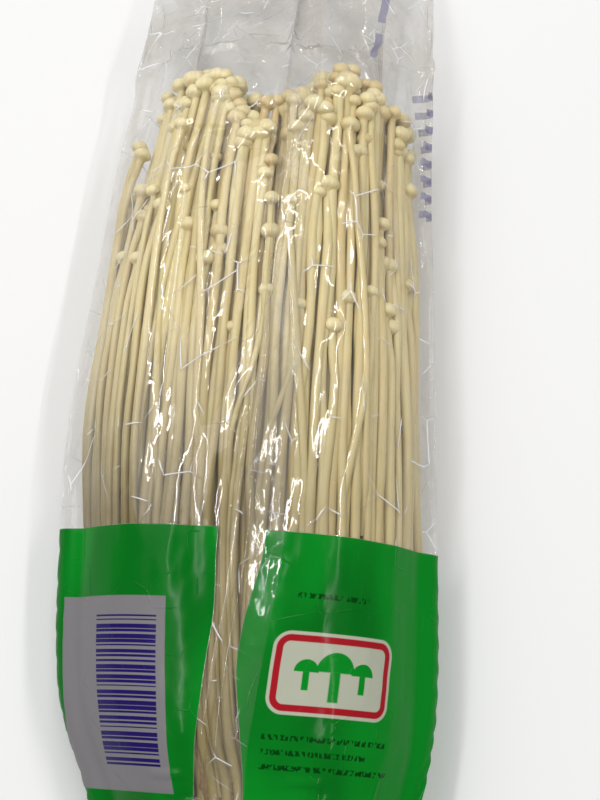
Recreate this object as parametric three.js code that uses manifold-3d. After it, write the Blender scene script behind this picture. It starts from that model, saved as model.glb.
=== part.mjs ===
// A bunch of enoki mushrooms in its film pouch, lying on its broad face.
// Millimetres, +Z up. +Y runs from the root end to the caps, +X across the pouch, and z = 0 is the
// surface that it lies on. The bunch grew as one body: a root block, slender stems and small caps.
// The pouch is one web of film. It is wrapped round the bunch, its two long edges meet in a fin seam
// that is folded flat on the upper face, and both its ends are pressed flat as end seals.
import * as THREE from "three";
import { mergeVertices } from "three/addons/utils/BufferGeometryUtils.js";
import Module from "manifold-3d";

const wasm = await Module();
wasm.setup();

// ---- Driving dimensions, in millimetres ----
const FILM = 0.6; // thickness of the pouch's wall
const PLY_GAP = 0.3; // between two plies that are pressed together
const LAYER = FILM + PLY_GAP;
const POUCH_END = 124; // half the pouch's length
const FIN_WIDTH = 9; // the folded seam's width
const FIN_RAMP = 2.4; // how far from the seam the upper ply comes down
const FOLD = 0.3; // how far the seam's turned edge stands off the seam line

const ROOT_END = -104; // the root block's cut end
const BLOCK_TOP = -84; // where the stems leave the root block
const CORE_END = 42; // the inner mass of stems ends here, under the caps
const CAP_LINE = 66; // height of the caps along Y, where the bunch is longest

const STEM_RADIUS = 1.2;
const CAP_WIDTH = 4.4;
const OUTER_STEMS = 54; // stems in the layer that lies against the film
const STAGGER = 3.6; // every other cap of that layer is lower by this much
const SHORT_SHARE = 0.2; // how many of that layer's mushrooms stay short of the others
const SHORT_BY = [8, 54]; // the least and the most that a short one stays below the caps' line
const CROWN_PITCH = 5.1; // spacing of the inner mushrooms whose caps close the top
const CROWN_INSET = 5.2; // how far they stand inside the bunch's outline
const JITTER = 1.6; // how far one may stand from its place in the grid
const LEAN = 2.4; // how far one may lean over its free length
const SIDES = 5; // facets round a mushroom
const CORE_BEHIND = 4.4; // the inner mass's depth under the outer layer of stems
const CORE_STEPS = 20; // points over the upper face of the root block and the inner mass
const FLUTE = 0.9; // depth of the grooves between the stems that are fused in them
const RIM_FALL = 9; // how much lower the caps' line is at the upper and lower face than halfway

// Stations along Y as [y, value]. The curves through them are level where they turn.
const POUCH_HALF_WIDTH = profile([
  [-124, 31], [-116, 31.4], [-108, 32.4], [-100, 34.4], [-92, 36.8], [-84, 39.2], [-74, 41], [-60, 41.6],
  [-40, 41.5], [-15, 40.7], [9, 38.7], [37, 36.4], [60, 34.3], [83, 32.3], [100, 31.6], [124, 31.4],
]);
const POUCH_RISE = profile([
  [-116, 0], [-111, 4], [-105, 14], [-96, 20.5], [-80, 23], [-44, 23.5], [0, 22.6], [40, 21.4],
  [58, 20.2], [70, 16.2], [84, 8], [99, 1.6], [108, 0],
]);
const POUCH_DROP = profile([
  [-116, 0], [-110, 4], [-104, 9.8], [-98, 12.4], [66, 12.4], [84, 8], [100, 2], [108, 0],
]);
const EDGE_HEIGHT = profile([
  [-124, 9], [-116, 9], [-98, 12], [66, 12], [86, 8.2], [105, 2], [116, 1.2],
]);
const CENTRE_X = profile([
  [-124, 5.6], [-100, 4.4], [-84, 2.2], [-72, 1], [-40, -1], [-15, -2], [12, -1.7], [40, -1.4],
  [64, -0.6], [90, 0],
]);
const SEAM_X = profile([[-100, -9], [-73, -5.4], [-42, -0.8], [4, 1.2]]); // from CENTRE_X
const BUNCH_MARGIN = profile([[-104, 3.4], [-80, 3.6], [60, 3.4]]); // inside the pouch's side edges
const BUNCH_SHIFT = 1.4; // how far the bunch lies to the right of the pouch's middle
const BUNCH_RISE = profile([
  [-104, 12.4], [-99, 17], [-80, 21.4], [-44, 22], [0, 21.1], [40, 19.9], [58, 18.4], [66, 16.4],
]);
const BUNCH_DROP = profile([[-104, 8.6], [-98, 11], [58, 11], [66, 9.6]]);
const CAP_TOPS = profile([
  [-32, -24], [-29, -11], [-25, -6], [-15.5, 0], [-3, -7.5], [12.5, 1.5], [22, -5], [26, -9], [31, -24],
]); // across X, from CAP_LINE
const UPPER_POWER = 3.4; // how flat the upper face is before it falls to the side edge
const LOWER_POWER = 5; // the same for the lower face

/** A monotone cubic through [at, value] stations, constant beyond the first and the last. */
function profile(stations) {
  const slope = stations.slice(1).map(([y, v], i) => (v - stations[i][1]) / (y - stations[i][0]));
  const tangent = stations.map((_, i) => {
    const [before, after] = [slope[i - 1] ?? 0, slope[i] ?? 0];
    return before * after > 0 ? (2 * before * after) / (before + after) : 0;
  });
  return (y) => {
    const last = stations.length - 1;
    if (y <= stations[0][0]) return stations[0][1];
    if (y >= stations[last][0]) return stations[last][1];
    const i = stations.findIndex((s) => s[0] > y) - 1;
    const [[y0, v0], [y1, v1]] = [stations[i], stations[i + 1]];
    const [h, t] = [y1 - y0, (y - y0) / (y1 - y0)];
    const bend = (1 - t) * (1 - t) * t * h * tangent[i] - (1 - t) * t * t * h * tangent[i + 1];
    return v0 + (v1 - v0) * t * t * (3 - 2 * t) + bend;
  };
}

/** A repeatable number from 0 to 1 for item i, one for each channel. */
function draw(i, channel) {
  const wave = Math.sin(i * 12.9898 + channel * 78.233) * 43758.5453;
  return wave - Math.floor(wave);
}

/** A geometry from points and triangles. */
function meshOf(points, triangles) {
  const geometry = new THREE.BufferGeometry();
  const places = points.flatMap((point) => [point.x, point.y, point.z]);
  geometry.setAttribute("position", new THREE.Float32BufferAttribute(places, 3));
  geometry.setIndex(triangles);
  return geometry;
}

/** Skins closed rings of equally many points. Fans close the first ring, and the last up to its apex. */
function loft(rings, apex) {
  const n = rings[0].length;
  const triangles = [];
  for (let j = 0; j + 1 < rings.length; j++)
    for (let i = 0; i < n; i++) {
      const [a, b] = [j * n + i, j * n + ((i + 1) % n)];
      triangles.push(a, b, b + n, a, b + n, a + n);
    }
  const end = (rings.length - 1) * n;
  for (let i = 1; i + 1 < n; i++) triangles.push(0, i + 1, i);
  for (let i = 0; i < n; i++) triangles.push(rings.length * n, end + i, end + ((i + 1) % n));
  return meshOf([...rings.flat(), apex], triangles);
}

// ---- The pouch ----

/** Heights of the middle of the pouch's upper and lower ply at y, as functions of x. */
function pouchSection(y) {
  const [half, edge, centre] = [POUCH_HALF_WIDTH(y), EDGE_HEIGHT(y), CENTRE_X(y)];
  const share = (x, power) => 1 - Math.min(1, Math.abs((x - centre) / half)) ** power;
  return {
    left: centre - half,
    right: centre + half,
    edge,
    top: (x) => edge + LAYER / 2 + POUCH_RISE(y) * share(x, UPPER_POWER),
    bottom: (x) => Math.max(FILM / 2, edge - LAYER / 2 - POUCH_DROP(y) * share(x, LOWER_POWER)),
  };
}

/** The middle of the web at y, from the seam's lower ply, round the bunch, to its upper ply. */
function webLine(y) {
  const section = pouchSection(y);
  const seam = SEAM_X(y) + CENTRE_X(y);
  const steps = 8;
  const line = [];
  const put = (x, z) => line.push(new THREE.Vector3(x, y, z));
  const layer = (x, level) => put(x, section.top(x) + level * LAYER);
  const ease = (i) => Math.sin(((i / steps) * Math.PI) / 2);
  for (const out of [FIN_WIDTH, FIN_WIDTH / 2, FOLD]) layer(seam + out, 1);
  layer(seam - FOLD / 2, 0.5);
  layer(seam + FOLD, 0);
  for (let i = 1; i <= steps; i++) layer(seam + (section.right - seam) * ease(i), 0);
  put(section.right + LAYER / 2, section.edge);
  for (let i = -steps; i <= steps; i++) {
    const x = CENTRE_X(y) - ease(i) * (section.right - CENTRE_X(y));
    put(x, section.bottom(x));
  }
  put(section.left - LAYER / 2, section.edge);
  for (let i = steps; i >= 1; i--) layer(seam - FIN_RAMP + (section.left - seam + FIN_RAMP) * ease(i), 0);
  layer(seam - FIN_RAMP, 0);
  for (const out of [-FOLD * 1.6, FIN_WIDTH / 2, FIN_WIDTH]) layer(seam + out, 2);
  return line;
}

/** A sheet of even thickness on a grid of points, closed round its rim. */
function thickSheet(rows, thickness) {
  const [count, width] = [rows.length, rows[0].length];
  const at = (j, i) => rows[Math.min(count - 1, Math.max(0, j))][Math.min(width - 1, Math.max(0, i))];
  const side = (offset) =>
    rows.flatMap((row, j) =>
      row.map((point, i) => {
        const before = new THREE.Vector3().subVectors(point, at(j, i - 1)).normalize();
        const after = new THREE.Vector3().subVectors(at(j, i + 1), point).normalize();
        const round = before.add(after);
        const along = new THREE.Vector3().subVectors(at(j + 1, i), at(j - 1, i));
        return point.clone().addScaledVector(round.cross(along).normalize(), offset);
      }),
    );
  const points = [...side(-thickness / 2), ...side(thickness / 2)];
  const [triangles, far] = [[], count * width];
  const quad = (a, b, c, d) => triangles.push(a, b, c, a, c, d);
  for (let j = 0; j + 1 < count; j++)
    for (let i = 0; i + 1 < width; i++) {
      const a = j * width + i;
      quad(a, a + width, a + width + 1, a + 1);
      quad(far + a, far + a + 1, far + a + width + 1, far + a + width);
    }
  for (let i = 0; i + 1 < width; i++) {
    const a = (count - 1) * width + i;
    quad(i, i + 1, far + i + 1, far + i);
    quad(a + 1, a, far + a, far + a + 1);
  }
  for (let j = 0; j + 1 < count; j++) {
    const [a, b] = [j * width, (j + 1) * width - 1];
    quad(a + width, a, far + a, far + a + width);
    quad(b, b + width, far + b + width, far + b);
  }
  return meshOf(points, triangles);
}

/** The pouch's film, with its fin seam and its flattened ends. */
function pouch() {
  const stations = [
    -POUCH_END, -116, -112.5, -109, -105, -100, -95, -88, -78, -62, -44, -12, 20, 46, 62, 69, 76, 82, 88, 95,
    102, 110, POUCH_END,
  ];
  return thickSheet(stations.map(webLine), FILM);
}

// ---- The bunch ----

/** The bunch's outline at y, drawn in by inset: its side, and its upper and lower height at x. */
function bunchSection(y, inset) {
  const half = POUCH_HALF_WIDTH(y) - BUNCH_MARGIN(y) - inset * 1.2;
  const [edge, centre] = [EDGE_HEIGHT(y), CENTRE_X(y) + BUNCH_SHIFT];
  const share = (x, power) => 1 - Math.min(1, Math.abs((x - centre) / half)) ** power;
  return {
    half,
    centre,
    top: (x) => edge + (BUNCH_RISE(y) - inset) * share(x, UPPER_POWER),
    bottom: (x) => edge - (BUNCH_DROP(y) - inset) * share(x, LOWER_POWER),
  };
}

/** The outline as a ring of points, from its left side over the top and back; every other one sunk. */
function bunchRing(y, inset, steps = 24, flute = 0) {
  const sections = [bunchSection(y, inset), bunchSection(y, inset + flute)];
  const point = (i, side) => {
    const section = sections[i % 2];
    const x = section.centre - section.half * Math.cos((i / steps) * Math.PI);
    return new THREE.Vector3(x, y, section[side](x));
  };
  const ring = [];
  for (let i = 0; i < steps; i++) ring.push(point(i, "top"));
  for (let i = steps; i > 0; i--) ring.push(point(i, "bottom"));
  return ring;
}

/** The point at a share of the way round the outline, by length. */
function roundAt(y, inset, share) {
  const ring = bunchRing(y, inset);
  const lengths = ring.map((p, i) => p.distanceTo(ring[(i + 1) % ring.length]));
  let left = (share - Math.floor(share)) * lengths.reduce((a, b) => a + b);
  let i = 0;
  while (left > lengths[i]) left -= lengths[i++];
  return ring[i].clone().lerp(ring[(i + 1) % ring.length], left / lengths[i]);
}

/** The caps' line over a point of the section: two low humps across X that fall away to the rim. */
function capTop(x, z) {
  const section = bunchSection(CAP_LINE, 0);
  const [top, bottom] = [section.top(section.centre), section.bottom(section.centre)];
  const off = Math.abs((2 * z - top - bottom) / (top - bottom));
  return CAP_LINE + CAP_TOPS(x) - RIM_FALL * Math.min(1, off) ** 2.4;
}

/** One mushroom on a path from its root to its tip: a tapering stem and a domed cap with a rim. */
function mushroom(path, stemRadius, capWidth) {
  const tip = path[path.length - 1];
  const lean = new THREE.Vector3().subVectors(tip, path[path.length - 2]).normalize();
  const dome = [
    [0.5, stemRadius], [0.55, capWidth * 0.5], [0.2, capWidth * 0.42],
  ]; // depth under the tip in cap widths, and radius
  const rings = path.slice(0, -1).map((point, j) => {
    const next = new THREE.Vector3().subVectors(path[j + 1], point).normalize();
    return circle(point, next, stemRadius * (j === 0 ? 0.7 : 1));
  });
  for (const [depth, radius] of dome)
    rings.push(circle(tip.clone().addScaledVector(lean, -depth * capWidth), lean, radius));
  return loft(rings, tip);
}

/** A ring of SIDES points round a centre, square to an axis that runs roughly along Y. */
function circle(centre, axis, radius) {
  const across = new THREE.Vector3(0, 0, 1).cross(axis).normalize();
  const up = new THREE.Vector3().crossVectors(axis, across);
  return Array.from({ length: SIDES }, (_, i) => {
    const turn = (2 * Math.PI * i) / SIDES;
    return centre
      .clone()
      .addScaledVector(across, radius * Math.cos(turn))
      .addScaledVector(up, radius * Math.sin(turn));
  });
}

/** A mushroom of the layer against the film, from the root block up. */
function outerMushroom(i) {
  const share = (i + 0.5) / OUTER_STEMS;
  const [size, width] = [0.92 + 0.16 * draw(i, 1), CAP_WIDTH * (0.82 + 0.36 * draw(i, 2))];
  const inset = STEM_RADIUS * 1.25 + 0.2;
  const atTop = roundAt(CAP_LINE, inset, share);
  const [least, most] = SHORT_BY;
  const short = draw(i, 3) < SHORT_SHARE ? least + (most - least) * draw(i, 4) : 0;
  const tipY = capTop(atTop.x, atTop.z) - STAGGER * (i % 2) - 4 * draw(i, 5) ** 2 - short;
  const path = [
    [BLOCK_TOP - 5, inset + 1.2], // sunk in the root block
    [BLOCK_TOP + 3, inset],
    [-30, inset],
    [Math.min(22, tipY - 14), inset],
    [tipY - width * 0.8, width / 2 + 0.5], // the cap stands clear of the film
    [tipY, width / 2 + 0.5],
  ].map(([y, drawnIn], j) => {
    const wander = 0.005 * Math.sin(y / 30 + 19 * share) + 0.0012 * (draw(i, 6 + j) - 0.5);
    return roundAt(y, drawnIn, share + wander);
  });
  return mushroom(path, STEM_RADIUS * size, width);
}

/** Where the inner mushrooms stand: a staggered grid over the section, clear of the outer layer. */
function crownPlaces() {
  const section = bunchSection(CAP_LINE - 17, CROWN_INSET);
  const [columns, first] = [Math.ceil(section.half / CROWN_PITCH), 500];
  const rowPitch = CROWN_PITCH * 0.82;
  const places = [];
  for (let row = 0; row * rowPitch < section.top(0); row++)
    for (let column = -columns; column <= columns; column++) {
      const i = first + row * 20 + column;
      const x = (column + (row % 2) / 2) * CROWN_PITCH + JITTER * (draw(i, 1) - 0.5);
      const z = 4 + row * rowPitch + JITTER * (draw(i, 2) - 0.5);
      if (Math.abs(x) < section.half && z < section.top(x) && z > section.bottom(x)) places.push({ i, x, z });
    }
  return places;
}

/** An inner mushroom, whose stem rises out of the inner mass. */
function crownMushroom({ i, x, z }) {
  const width = CAP_WIDTH * (1.15 + 0.3 * draw(i, 3));
  const tipY = capTop(x, z) - 8 * draw(i, 4) ** 2;
  const path = [CORE_END - 9, tipY - width * 0.9, tipY].map((y, j) => {
    const [leanX, leanZ] = [5, 6].map((channel) => (j / 2) * LEAN * (draw(i, channel) - 0.5));
    return new THREE.Vector3(x + leanX, y, z + leanZ);
  });
  return mushroom(path, STEM_RADIUS, width);
}

/** The root block and, above it, the inner mass that the outer stems stand in front of, both fluted. */
function rootAndCore() {
  const rings = [
    [ROOT_END, 1.5],
    [ROOT_END + 3, 0.3],
    [BLOCK_TOP, 0.2],
    [BLOCK_TOP + 4, CORE_BEHIND],
    [-44, CORE_BEHIND],
    [-10, CORE_BEHIND],
    [24, CORE_BEHIND],
    [CORE_END - 6, CORE_BEHIND + 0.6],
    [CORE_END - 1, CORE_BEHIND + 3.5],
  ].map(([y, inset]) => bunchRing(y, inset, CORE_STEPS, FLUTE));
  const { centre, top, bottom } = bunchSection(CORE_END, CORE_BEHIND);
  return loft(rings, new THREE.Vector3(centre, CORE_END, (top(centre) + bottom(centre)) / 2));
}

/** A geometry as a manifold-3d solid. */
function solid(geometry) {
  const bare = geometry.clone();
  bare.deleteAttribute("normal");
  bare.deleteAttribute("uv");
  const merged = mergeVertices(bare, 1e-4);
  return new wasm.Manifold(
    new wasm.Mesh({
      numProp: 3,
      vertProperties: merged.attributes.position.array,
      triVerts: new Uint32Array(merged.index.array),
    }),
  );
}

/** A manifold-3d solid as a geometry. */
function geometryOf(shape) {
  const mesh = shape.getMesh();
  const geometry = new THREE.BufferGeometry();
  geometry.setAttribute("position", new THREE.BufferAttribute(new Float32Array(mesh.vertProperties), 3));
  geometry.setIndex(new THREE.BufferAttribute(new Uint32Array(mesh.triVerts), 1));
  geometry.computeVertexNormals();
  return geometry;
}

/** The whole bunch as one body. */
function bunch() {
  const outer = Array.from({ length: OUTER_STEMS }, (_, i) => outerMushroom(i));
  const crown = crownPlaces().map(crownMushroom);
  return geometryOf(wasm.Manifold.union([rootAndCore(), ...outer, ...crown].map(solid)));
}

/** A named node. */
function node(name, geometry, look) {
  const mesh = new THREE.Mesh(geometry, new THREE.MeshStandardMaterial(look));
  mesh.name = name;
  return mesh;
}

const flesh = { color: 0xd8ca9e, roughness: 0.55, metalness: 0 };
const film = { color: 0xdfe6dc, roughness: 0.15, metalness: 0, transparent: true, opacity: 0.3 };
const pack = new THREE.Group();
pack.add(node("mushroom_bunch", bunch(), flesh), node("pouch_film", pouch(), film));
export default pack;
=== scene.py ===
"""An enoki bunch lying in its film pouch: stems, caps, root block and the creased, part-printed film.

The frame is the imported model's own: +Y runs from the root end to the caps, +X across the pouch, and
z = 0 is the surface that the pack lies on. Forms are worked out in millimetres, from the same driving
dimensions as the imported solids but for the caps' line, and become metres where a mesh is made.
"""

import functools
import logging
import math
from dataclasses import dataclass
from enum import Enum
from typing import Callable, Iterator, Optional, Sequence, Union

import bpy
import numpy as np
from mathutils import Matrix, Vector
from mathutils.bvhtree import BVHTree


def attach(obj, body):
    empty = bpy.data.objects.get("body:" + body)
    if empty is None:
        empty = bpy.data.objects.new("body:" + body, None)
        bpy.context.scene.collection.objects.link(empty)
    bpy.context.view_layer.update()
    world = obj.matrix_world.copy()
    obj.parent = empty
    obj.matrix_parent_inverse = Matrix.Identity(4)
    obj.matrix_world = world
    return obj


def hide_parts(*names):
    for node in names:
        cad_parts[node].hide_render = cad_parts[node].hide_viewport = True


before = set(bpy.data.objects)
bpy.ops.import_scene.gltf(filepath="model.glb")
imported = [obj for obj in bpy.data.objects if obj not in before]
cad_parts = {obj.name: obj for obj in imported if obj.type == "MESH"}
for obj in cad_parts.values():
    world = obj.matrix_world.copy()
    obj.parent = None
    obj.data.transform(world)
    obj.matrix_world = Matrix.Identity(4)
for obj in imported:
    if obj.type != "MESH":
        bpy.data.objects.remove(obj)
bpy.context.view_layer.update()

log = logging.getLogger("enoki_pack")

MM = 0.001
Array = np.ndarray
Socket = bpy.types.NodeSocket
Value = Union[float, Socket]


# ---- Numbers, curves and the pack's form ----

# The wave that draw reads. It is so high that its digits after the point look like chance.
ITEM_PACE = 12.9898
CHANNEL_PACE = 78.233
WAVE_HEIGHT = 43758.5453


def draw(item: int, channel: int) -> float:
    """Gives a repeatable number from 0 to 1.

    Args:
        item: Which thing the number is for.
        channel: Which of its features the number is for.

    Returns:
        The number.
    """
    wave = math.sin(item * ITEM_PACE + channel * CHANNEL_PACE) * WAVE_HEIGHT
    return wave - math.floor(wave)


class Profile:
    """A smooth curve through stations, level where it turns and constant beyond its ends."""

    def __init__(self, *stations: tuple[float, float]) -> None:
        """Works out the curve's tangents.

        Args:
            stations: Pairs of a place and the value there, in rising order of place.
        """
        self.at, self.value = np.array(stations, float).T
        slope = np.diff(self.value) / np.diff(self.at)
        before, after = np.append(0.0, slope), np.append(slope, 0.0)
        total = np.where(before + after == 0, 1.0, before + after)
        self.tangent = np.where(before * after > 0, 2 * before * after / total, 0.0)

    def __call__(self, place: Array) -> Array:
        """Evaluates the curve.

        Args:
            place: Where, as a number or an array.

        Returns:
            The value there.
        """
        place = np.clip(place, self.at[0], self.at[-1])
        i = np.clip(np.searchsorted(self.at, place, side="right") - 1, 0, len(self.at) - 2)
        h = self.at[i + 1] - self.at[i]
        t = (place - self.at[i]) / h
        bend = (1 - t) * t * h * ((1 - t) * self.tangent[i] - t * self.tangent[i + 1])
        return self.value[i] + (self.value[i + 1] - self.value[i]) * t * t * (3 - 2 * t) + bend


@dataclass(frozen=True)
class PackForm:
    """The pack's driving dimensions, in millimetres, and the sections that follow from them."""

    film_wall: float = 0.6
    layer: float = 0.9  # from one pressed ply to the next
    pouch_end: float = 124.0
    seal_from: float = 116.0
    fin_width: float = 9.0
    fin_ramp: float = 2.4  # how far from the seam the upper ply comes down
    block_top: float = -84.0  # where the stems leave the root block
    core_end: float = 42.0  # where the inner mass ends, under the caps
    cap_line: float = 66.0  # how far along the caps are, where the bunch is longest
    rim_fall: float = 9.0  # how much further back the caps are at both faces than halfway
    rim_power: float = 2.4
    upper_power: float = 3.4  # how flat the upper face is before it falls to the side
    lower_power: float = 5.0
    side_draw: float = 1.2  # how much more an inset draws in the sides than the faces
    half_width: Profile = Profile(
        (-124, 31), (-116, 31.4), (-108, 32.4), (-100, 34.4), (-92, 36.8), (-84, 39.2), (-74, 41),
        (-60, 41.6), (-40, 41.5), (-15, 40.7), (9, 38.7), (37, 36.4), (60, 34.3), (83, 32.3),
        (100, 31.6), (124, 31.4),
    )
    rise: Profile = Profile(
        (-116, 0), (-111, 4), (-105, 14), (-96, 20.5), (-80, 23), (-44, 23.5), (0, 22.6),
        (40, 21.4), (58, 20.2), (70, 16.2), (84, 8), (99, 1.6), (108, 0),
    )
    drop: Profile = Profile(
        (-116, 0), (-110, 4), (-104, 9.8), (-98, 12.4), (66, 12.4), (84, 8), (100, 2), (108, 0),
    )
    edge_height: Profile = Profile(
        (-124, 9), (-116, 9), (-98, 12), (66, 12), (86, 8.2), (105, 2), (116, 1.2),
    )
    centre_x: Profile = Profile(
        (-124, 5.6), (-100, 4.4), (-84, 2.2), (-72, 1), (-40, -1), (-15, -2), (12, -1.7), (40, -1.4),
        (64, -0.6), (90, 0),
    )
    seam_x: Profile = Profile((-100, -9), (-73, -5.4), (-42, -0.8), (4, 1.2))
    bunch_margin: Profile = Profile((-104, 3.4), (-80, 3.6), (60, 3.4))
    bunch_shift: float = 1.4
    bunch_rise: Profile = Profile(
        (-104, 12.4), (-99, 17), (-80, 21.4), (-44, 22), (0, 21.1), (40, 19.9), (58, 18.4), (66, 16.4),
    )
    bunch_drop: Profile = Profile((-104, 8.6), (-98, 11), (58, 11), (66, 9.6))
    # The caps' line stands up to 3 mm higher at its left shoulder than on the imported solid.
    cap_tops: Profile = Profile(
        (-32, -24), (-29, -8), (-25, -3.5), (-15.5, 0), (-3, -7.5), (12.5, 1.5), (22, -5), (26, -9),
        (31, -24),
    )

    @staticmethod
    def _share(x: Array, centre: Array, half: Array, power: float) -> Array:
        """How much of a section's full height is left at x, from 1 in its middle to 0 at its side."""
        return 1 - np.minimum(1, np.abs((x - centre) / half)) ** power

    def film_top(self, x: Array, y: Array) -> Array:
        """Height of the upper film, in its middle, at a place across and along the pack."""
        share = self._share(x, self.centre_x(y), self.half_width(y), self.upper_power)
        return self.edge_height(y) + self.layer / 2 + self.rise(y) * share

    def film_bottom(self, x: Array, y: Array) -> Array:
        """Height of the lower film, in its middle, at a place across and along the pack."""
        share = self._share(x, self.centre_x(y), self.half_width(y), self.lower_power)
        return np.maximum(self.film_wall / 2, self.edge_height(y) - self.layer / 2 - self.drop(y) * share)

    def bunch_centre(self, y: Array) -> Array:
        """The middle of the bunch at y, which lies to the right of the pouch's middle."""
        return self.centre_x(y) + self.bunch_shift

    def bunch_half(self, y: Array, inset: Array) -> Array:
        """Half the bunch's width at y, drawn in by inset."""
        return self.half_width(y) - self.bunch_margin(y) - inset * self.side_draw

    def bunch_top(self, x: Array, y: Array, inset: Array) -> Array:
        """Height of the bunch's upper face, drawn in by inset."""
        share = self._share(x, self.bunch_centre(y), self.bunch_half(y, inset), self.upper_power)
        return self.edge_height(y) + (self.bunch_rise(y) - inset) * share

    def bunch_bottom(self, x: Array, y: Array, inset: Array) -> Array:
        """Height of the bunch's lower face, drawn in by inset."""
        share = self._share(x, self.bunch_centre(y), self.bunch_half(y, inset), self.lower_power)
        return self.edge_height(y) - (self.bunch_drop(y) - inset) * share

    def round_at(self, y: float, inset: float, share: float, steps: int = 24) -> tuple[float, float]:
        """Finds a point on the bunch's outline.

        Args:
            y: The section's place along the pack.
            inset: How far the outline is drawn in.
            share: The share of the way round, by length, from the left side over the top.
            steps: Points over each face of the section.

        Returns:
            The point's x and z.
        """
        turn = np.arange(2 * steps) / steps * math.pi
        x = self.bunch_centre(y) - self.bunch_half(y, inset) * np.cos(turn)
        upper = np.arange(2 * steps) < steps
        z = np.where(upper, self.bunch_top(x, y, inset), self.bunch_bottom(x, y, inset))
        ring = np.stack([np.append(x, x[0]), np.append(z, z[0])], 1)
        way = np.append(0.0, np.cumsum(np.linalg.norm(np.diff(ring, axis=0), axis=1)))
        at = (share % 1.0) * way[-1]
        return float(np.interp(at, way, ring[:, 0])), float(np.interp(at, way, ring[:, 1]))

    def cap_top(self, x: float, z: float) -> float:
        """The caps' line over a point of the section: two low humps that fall away to the rim.

        Args:
            x: The point's place across the pack.
            z: Its height.

        Returns:
            How far along the pack the caps reach there.
        """
        centre = self.bunch_centre(self.cap_line)
        top = self.bunch_top(centre, self.cap_line, 0.0)
        bottom = self.bunch_bottom(centre, self.cap_line, 0.0)
        off = abs((2 * z - top - bottom) / (top - bottom))
        return float(self.cap_line + self.cap_tops(x) - self.rim_fall * min(1.0, off) ** self.rim_power)


# ---- Modelling helpers ----


def start_fresh() -> None:
    """Leaves edit mode and deselects everything, so that an operator meets only what is added next."""
    if bpy.context.object is not None and bpy.context.object.mode != "OBJECT":
        bpy.ops.object.mode_set(mode="OBJECT")
    bpy.ops.object.select_all(action="DESELECT")


def pick(*pieces: bpy.types.Object) -> None:
    """Selects these pieces and nothing else.

    Args:
        pieces: The pieces. The first becomes the active one.
    """
    start_fresh()
    for piece in pieces:
        piece.select_set(True)
    bpy.context.view_layer.objects.active = pieces[0]


def place_points(obj: bpy.types.Object, points: Array) -> None:
    """Moves a mesh's points to places in millimetres.

    Args:
        obj: The object, which stays at the origin.
        points: One row of x, y and z for each vertex.
    """
    obj.data.vertices.foreach_set("co", np.ascontiguousarray(points * MM, np.float32).ravel())
    obj.data.update()


def points_of(obj: bpy.types.Object) -> Array:
    """The mesh's points as rows of x, y and z, in metres.

    Args:
        obj: The object.

    Returns:
        The points.
    """
    flat = np.empty(len(obj.data.vertices) * 3, np.float32)
    obj.data.vertices.foreach_get("co", flat)
    return flat.reshape(-1, 3).astype(float)


def write_attribute(obj: bpy.types.Object, name: str, values: Array) -> None:
    """Stores one number for each vertex under a name that materials read.

    Args:
        obj: The object.
        name: The attribute's name.
        values: The numbers, in the vertices' order.
    """
    attribute = obj.data.attributes.get(name) or obj.data.attributes.new(name, "FLOAT", "POINT")
    attribute.data.foreach_set("value", np.ascontiguousarray(values, np.float32))


def join(pieces: Sequence[bpy.types.Object], name: str) -> bpy.types.Object:
    """Joins separate meshes into one piece.

    Args:
        pieces: The meshes. The first keeps its object.
        name: The piece's name.

    Returns:
        The joined piece.
    """
    pick(*pieces)
    bpy.ops.object.join()
    pieces[0].name = name
    pieces[0].data.name = name
    return pieces[0]


def smooth(obj: bpy.types.Object, angle: float) -> None:
    """Shades a piece smooth, but for edges sharper than an angle in degrees.

    Args:
        obj: The piece.
        angle: The angle.
    """
    pick(obj)
    bpy.ops.object.shade_smooth_by_angle(angle=math.radians(angle))


def neighbourhoods(values: Array, reach: int) -> Array:
    """The square of neighbours round each value of a grid, with the grid's rim repeated outwards.

    Args:
        values: The grid.
        reach: How many steps a square goes out from its middle.

    Returns:
        The squares, one for each value.
    """
    padded = np.pad(values, reach, mode="edge")
    side = 2 * reach + 1
    return np.lib.stride_tricks.sliding_window_view(padded, (side, side))


def finer(grid: Array) -> Array:
    """The same grid with a point halfway between each two.

    Args:
        grid: The coarse grid.

    Returns:
        The fine grid.
    """
    rows = np.empty((2 * grid.shape[0] - 1, *grid.shape[1:]))
    rows[::2], rows[1::2] = grid, (grid[1:] + grid[:-1]) / 2
    full = np.empty((rows.shape[0], 2 * grid.shape[1] - 1, grid.shape[2]))
    full[:, ::2], full[:, 1::2] = rows, (rows[:, 1:] + rows[:, :-1]) / 2
    return full


def fit_out(obj: bpy.types.Object, material: bpy.types.Material, node: str) -> None:
    """Gives a finished piece its material and its body, and hides the solid it stands for.

    Args:
        obj: The piece.
        material: Its material.
        node: The solid it stands for.
    """
    obj.data.materials.clear()
    obj.data.materials.append(material)
    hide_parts(node)
    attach(obj, "root")
    log.info("%s: %d faces", obj.name, len(obj.data.polygons))


# ---- Shader helpers ----


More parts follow.
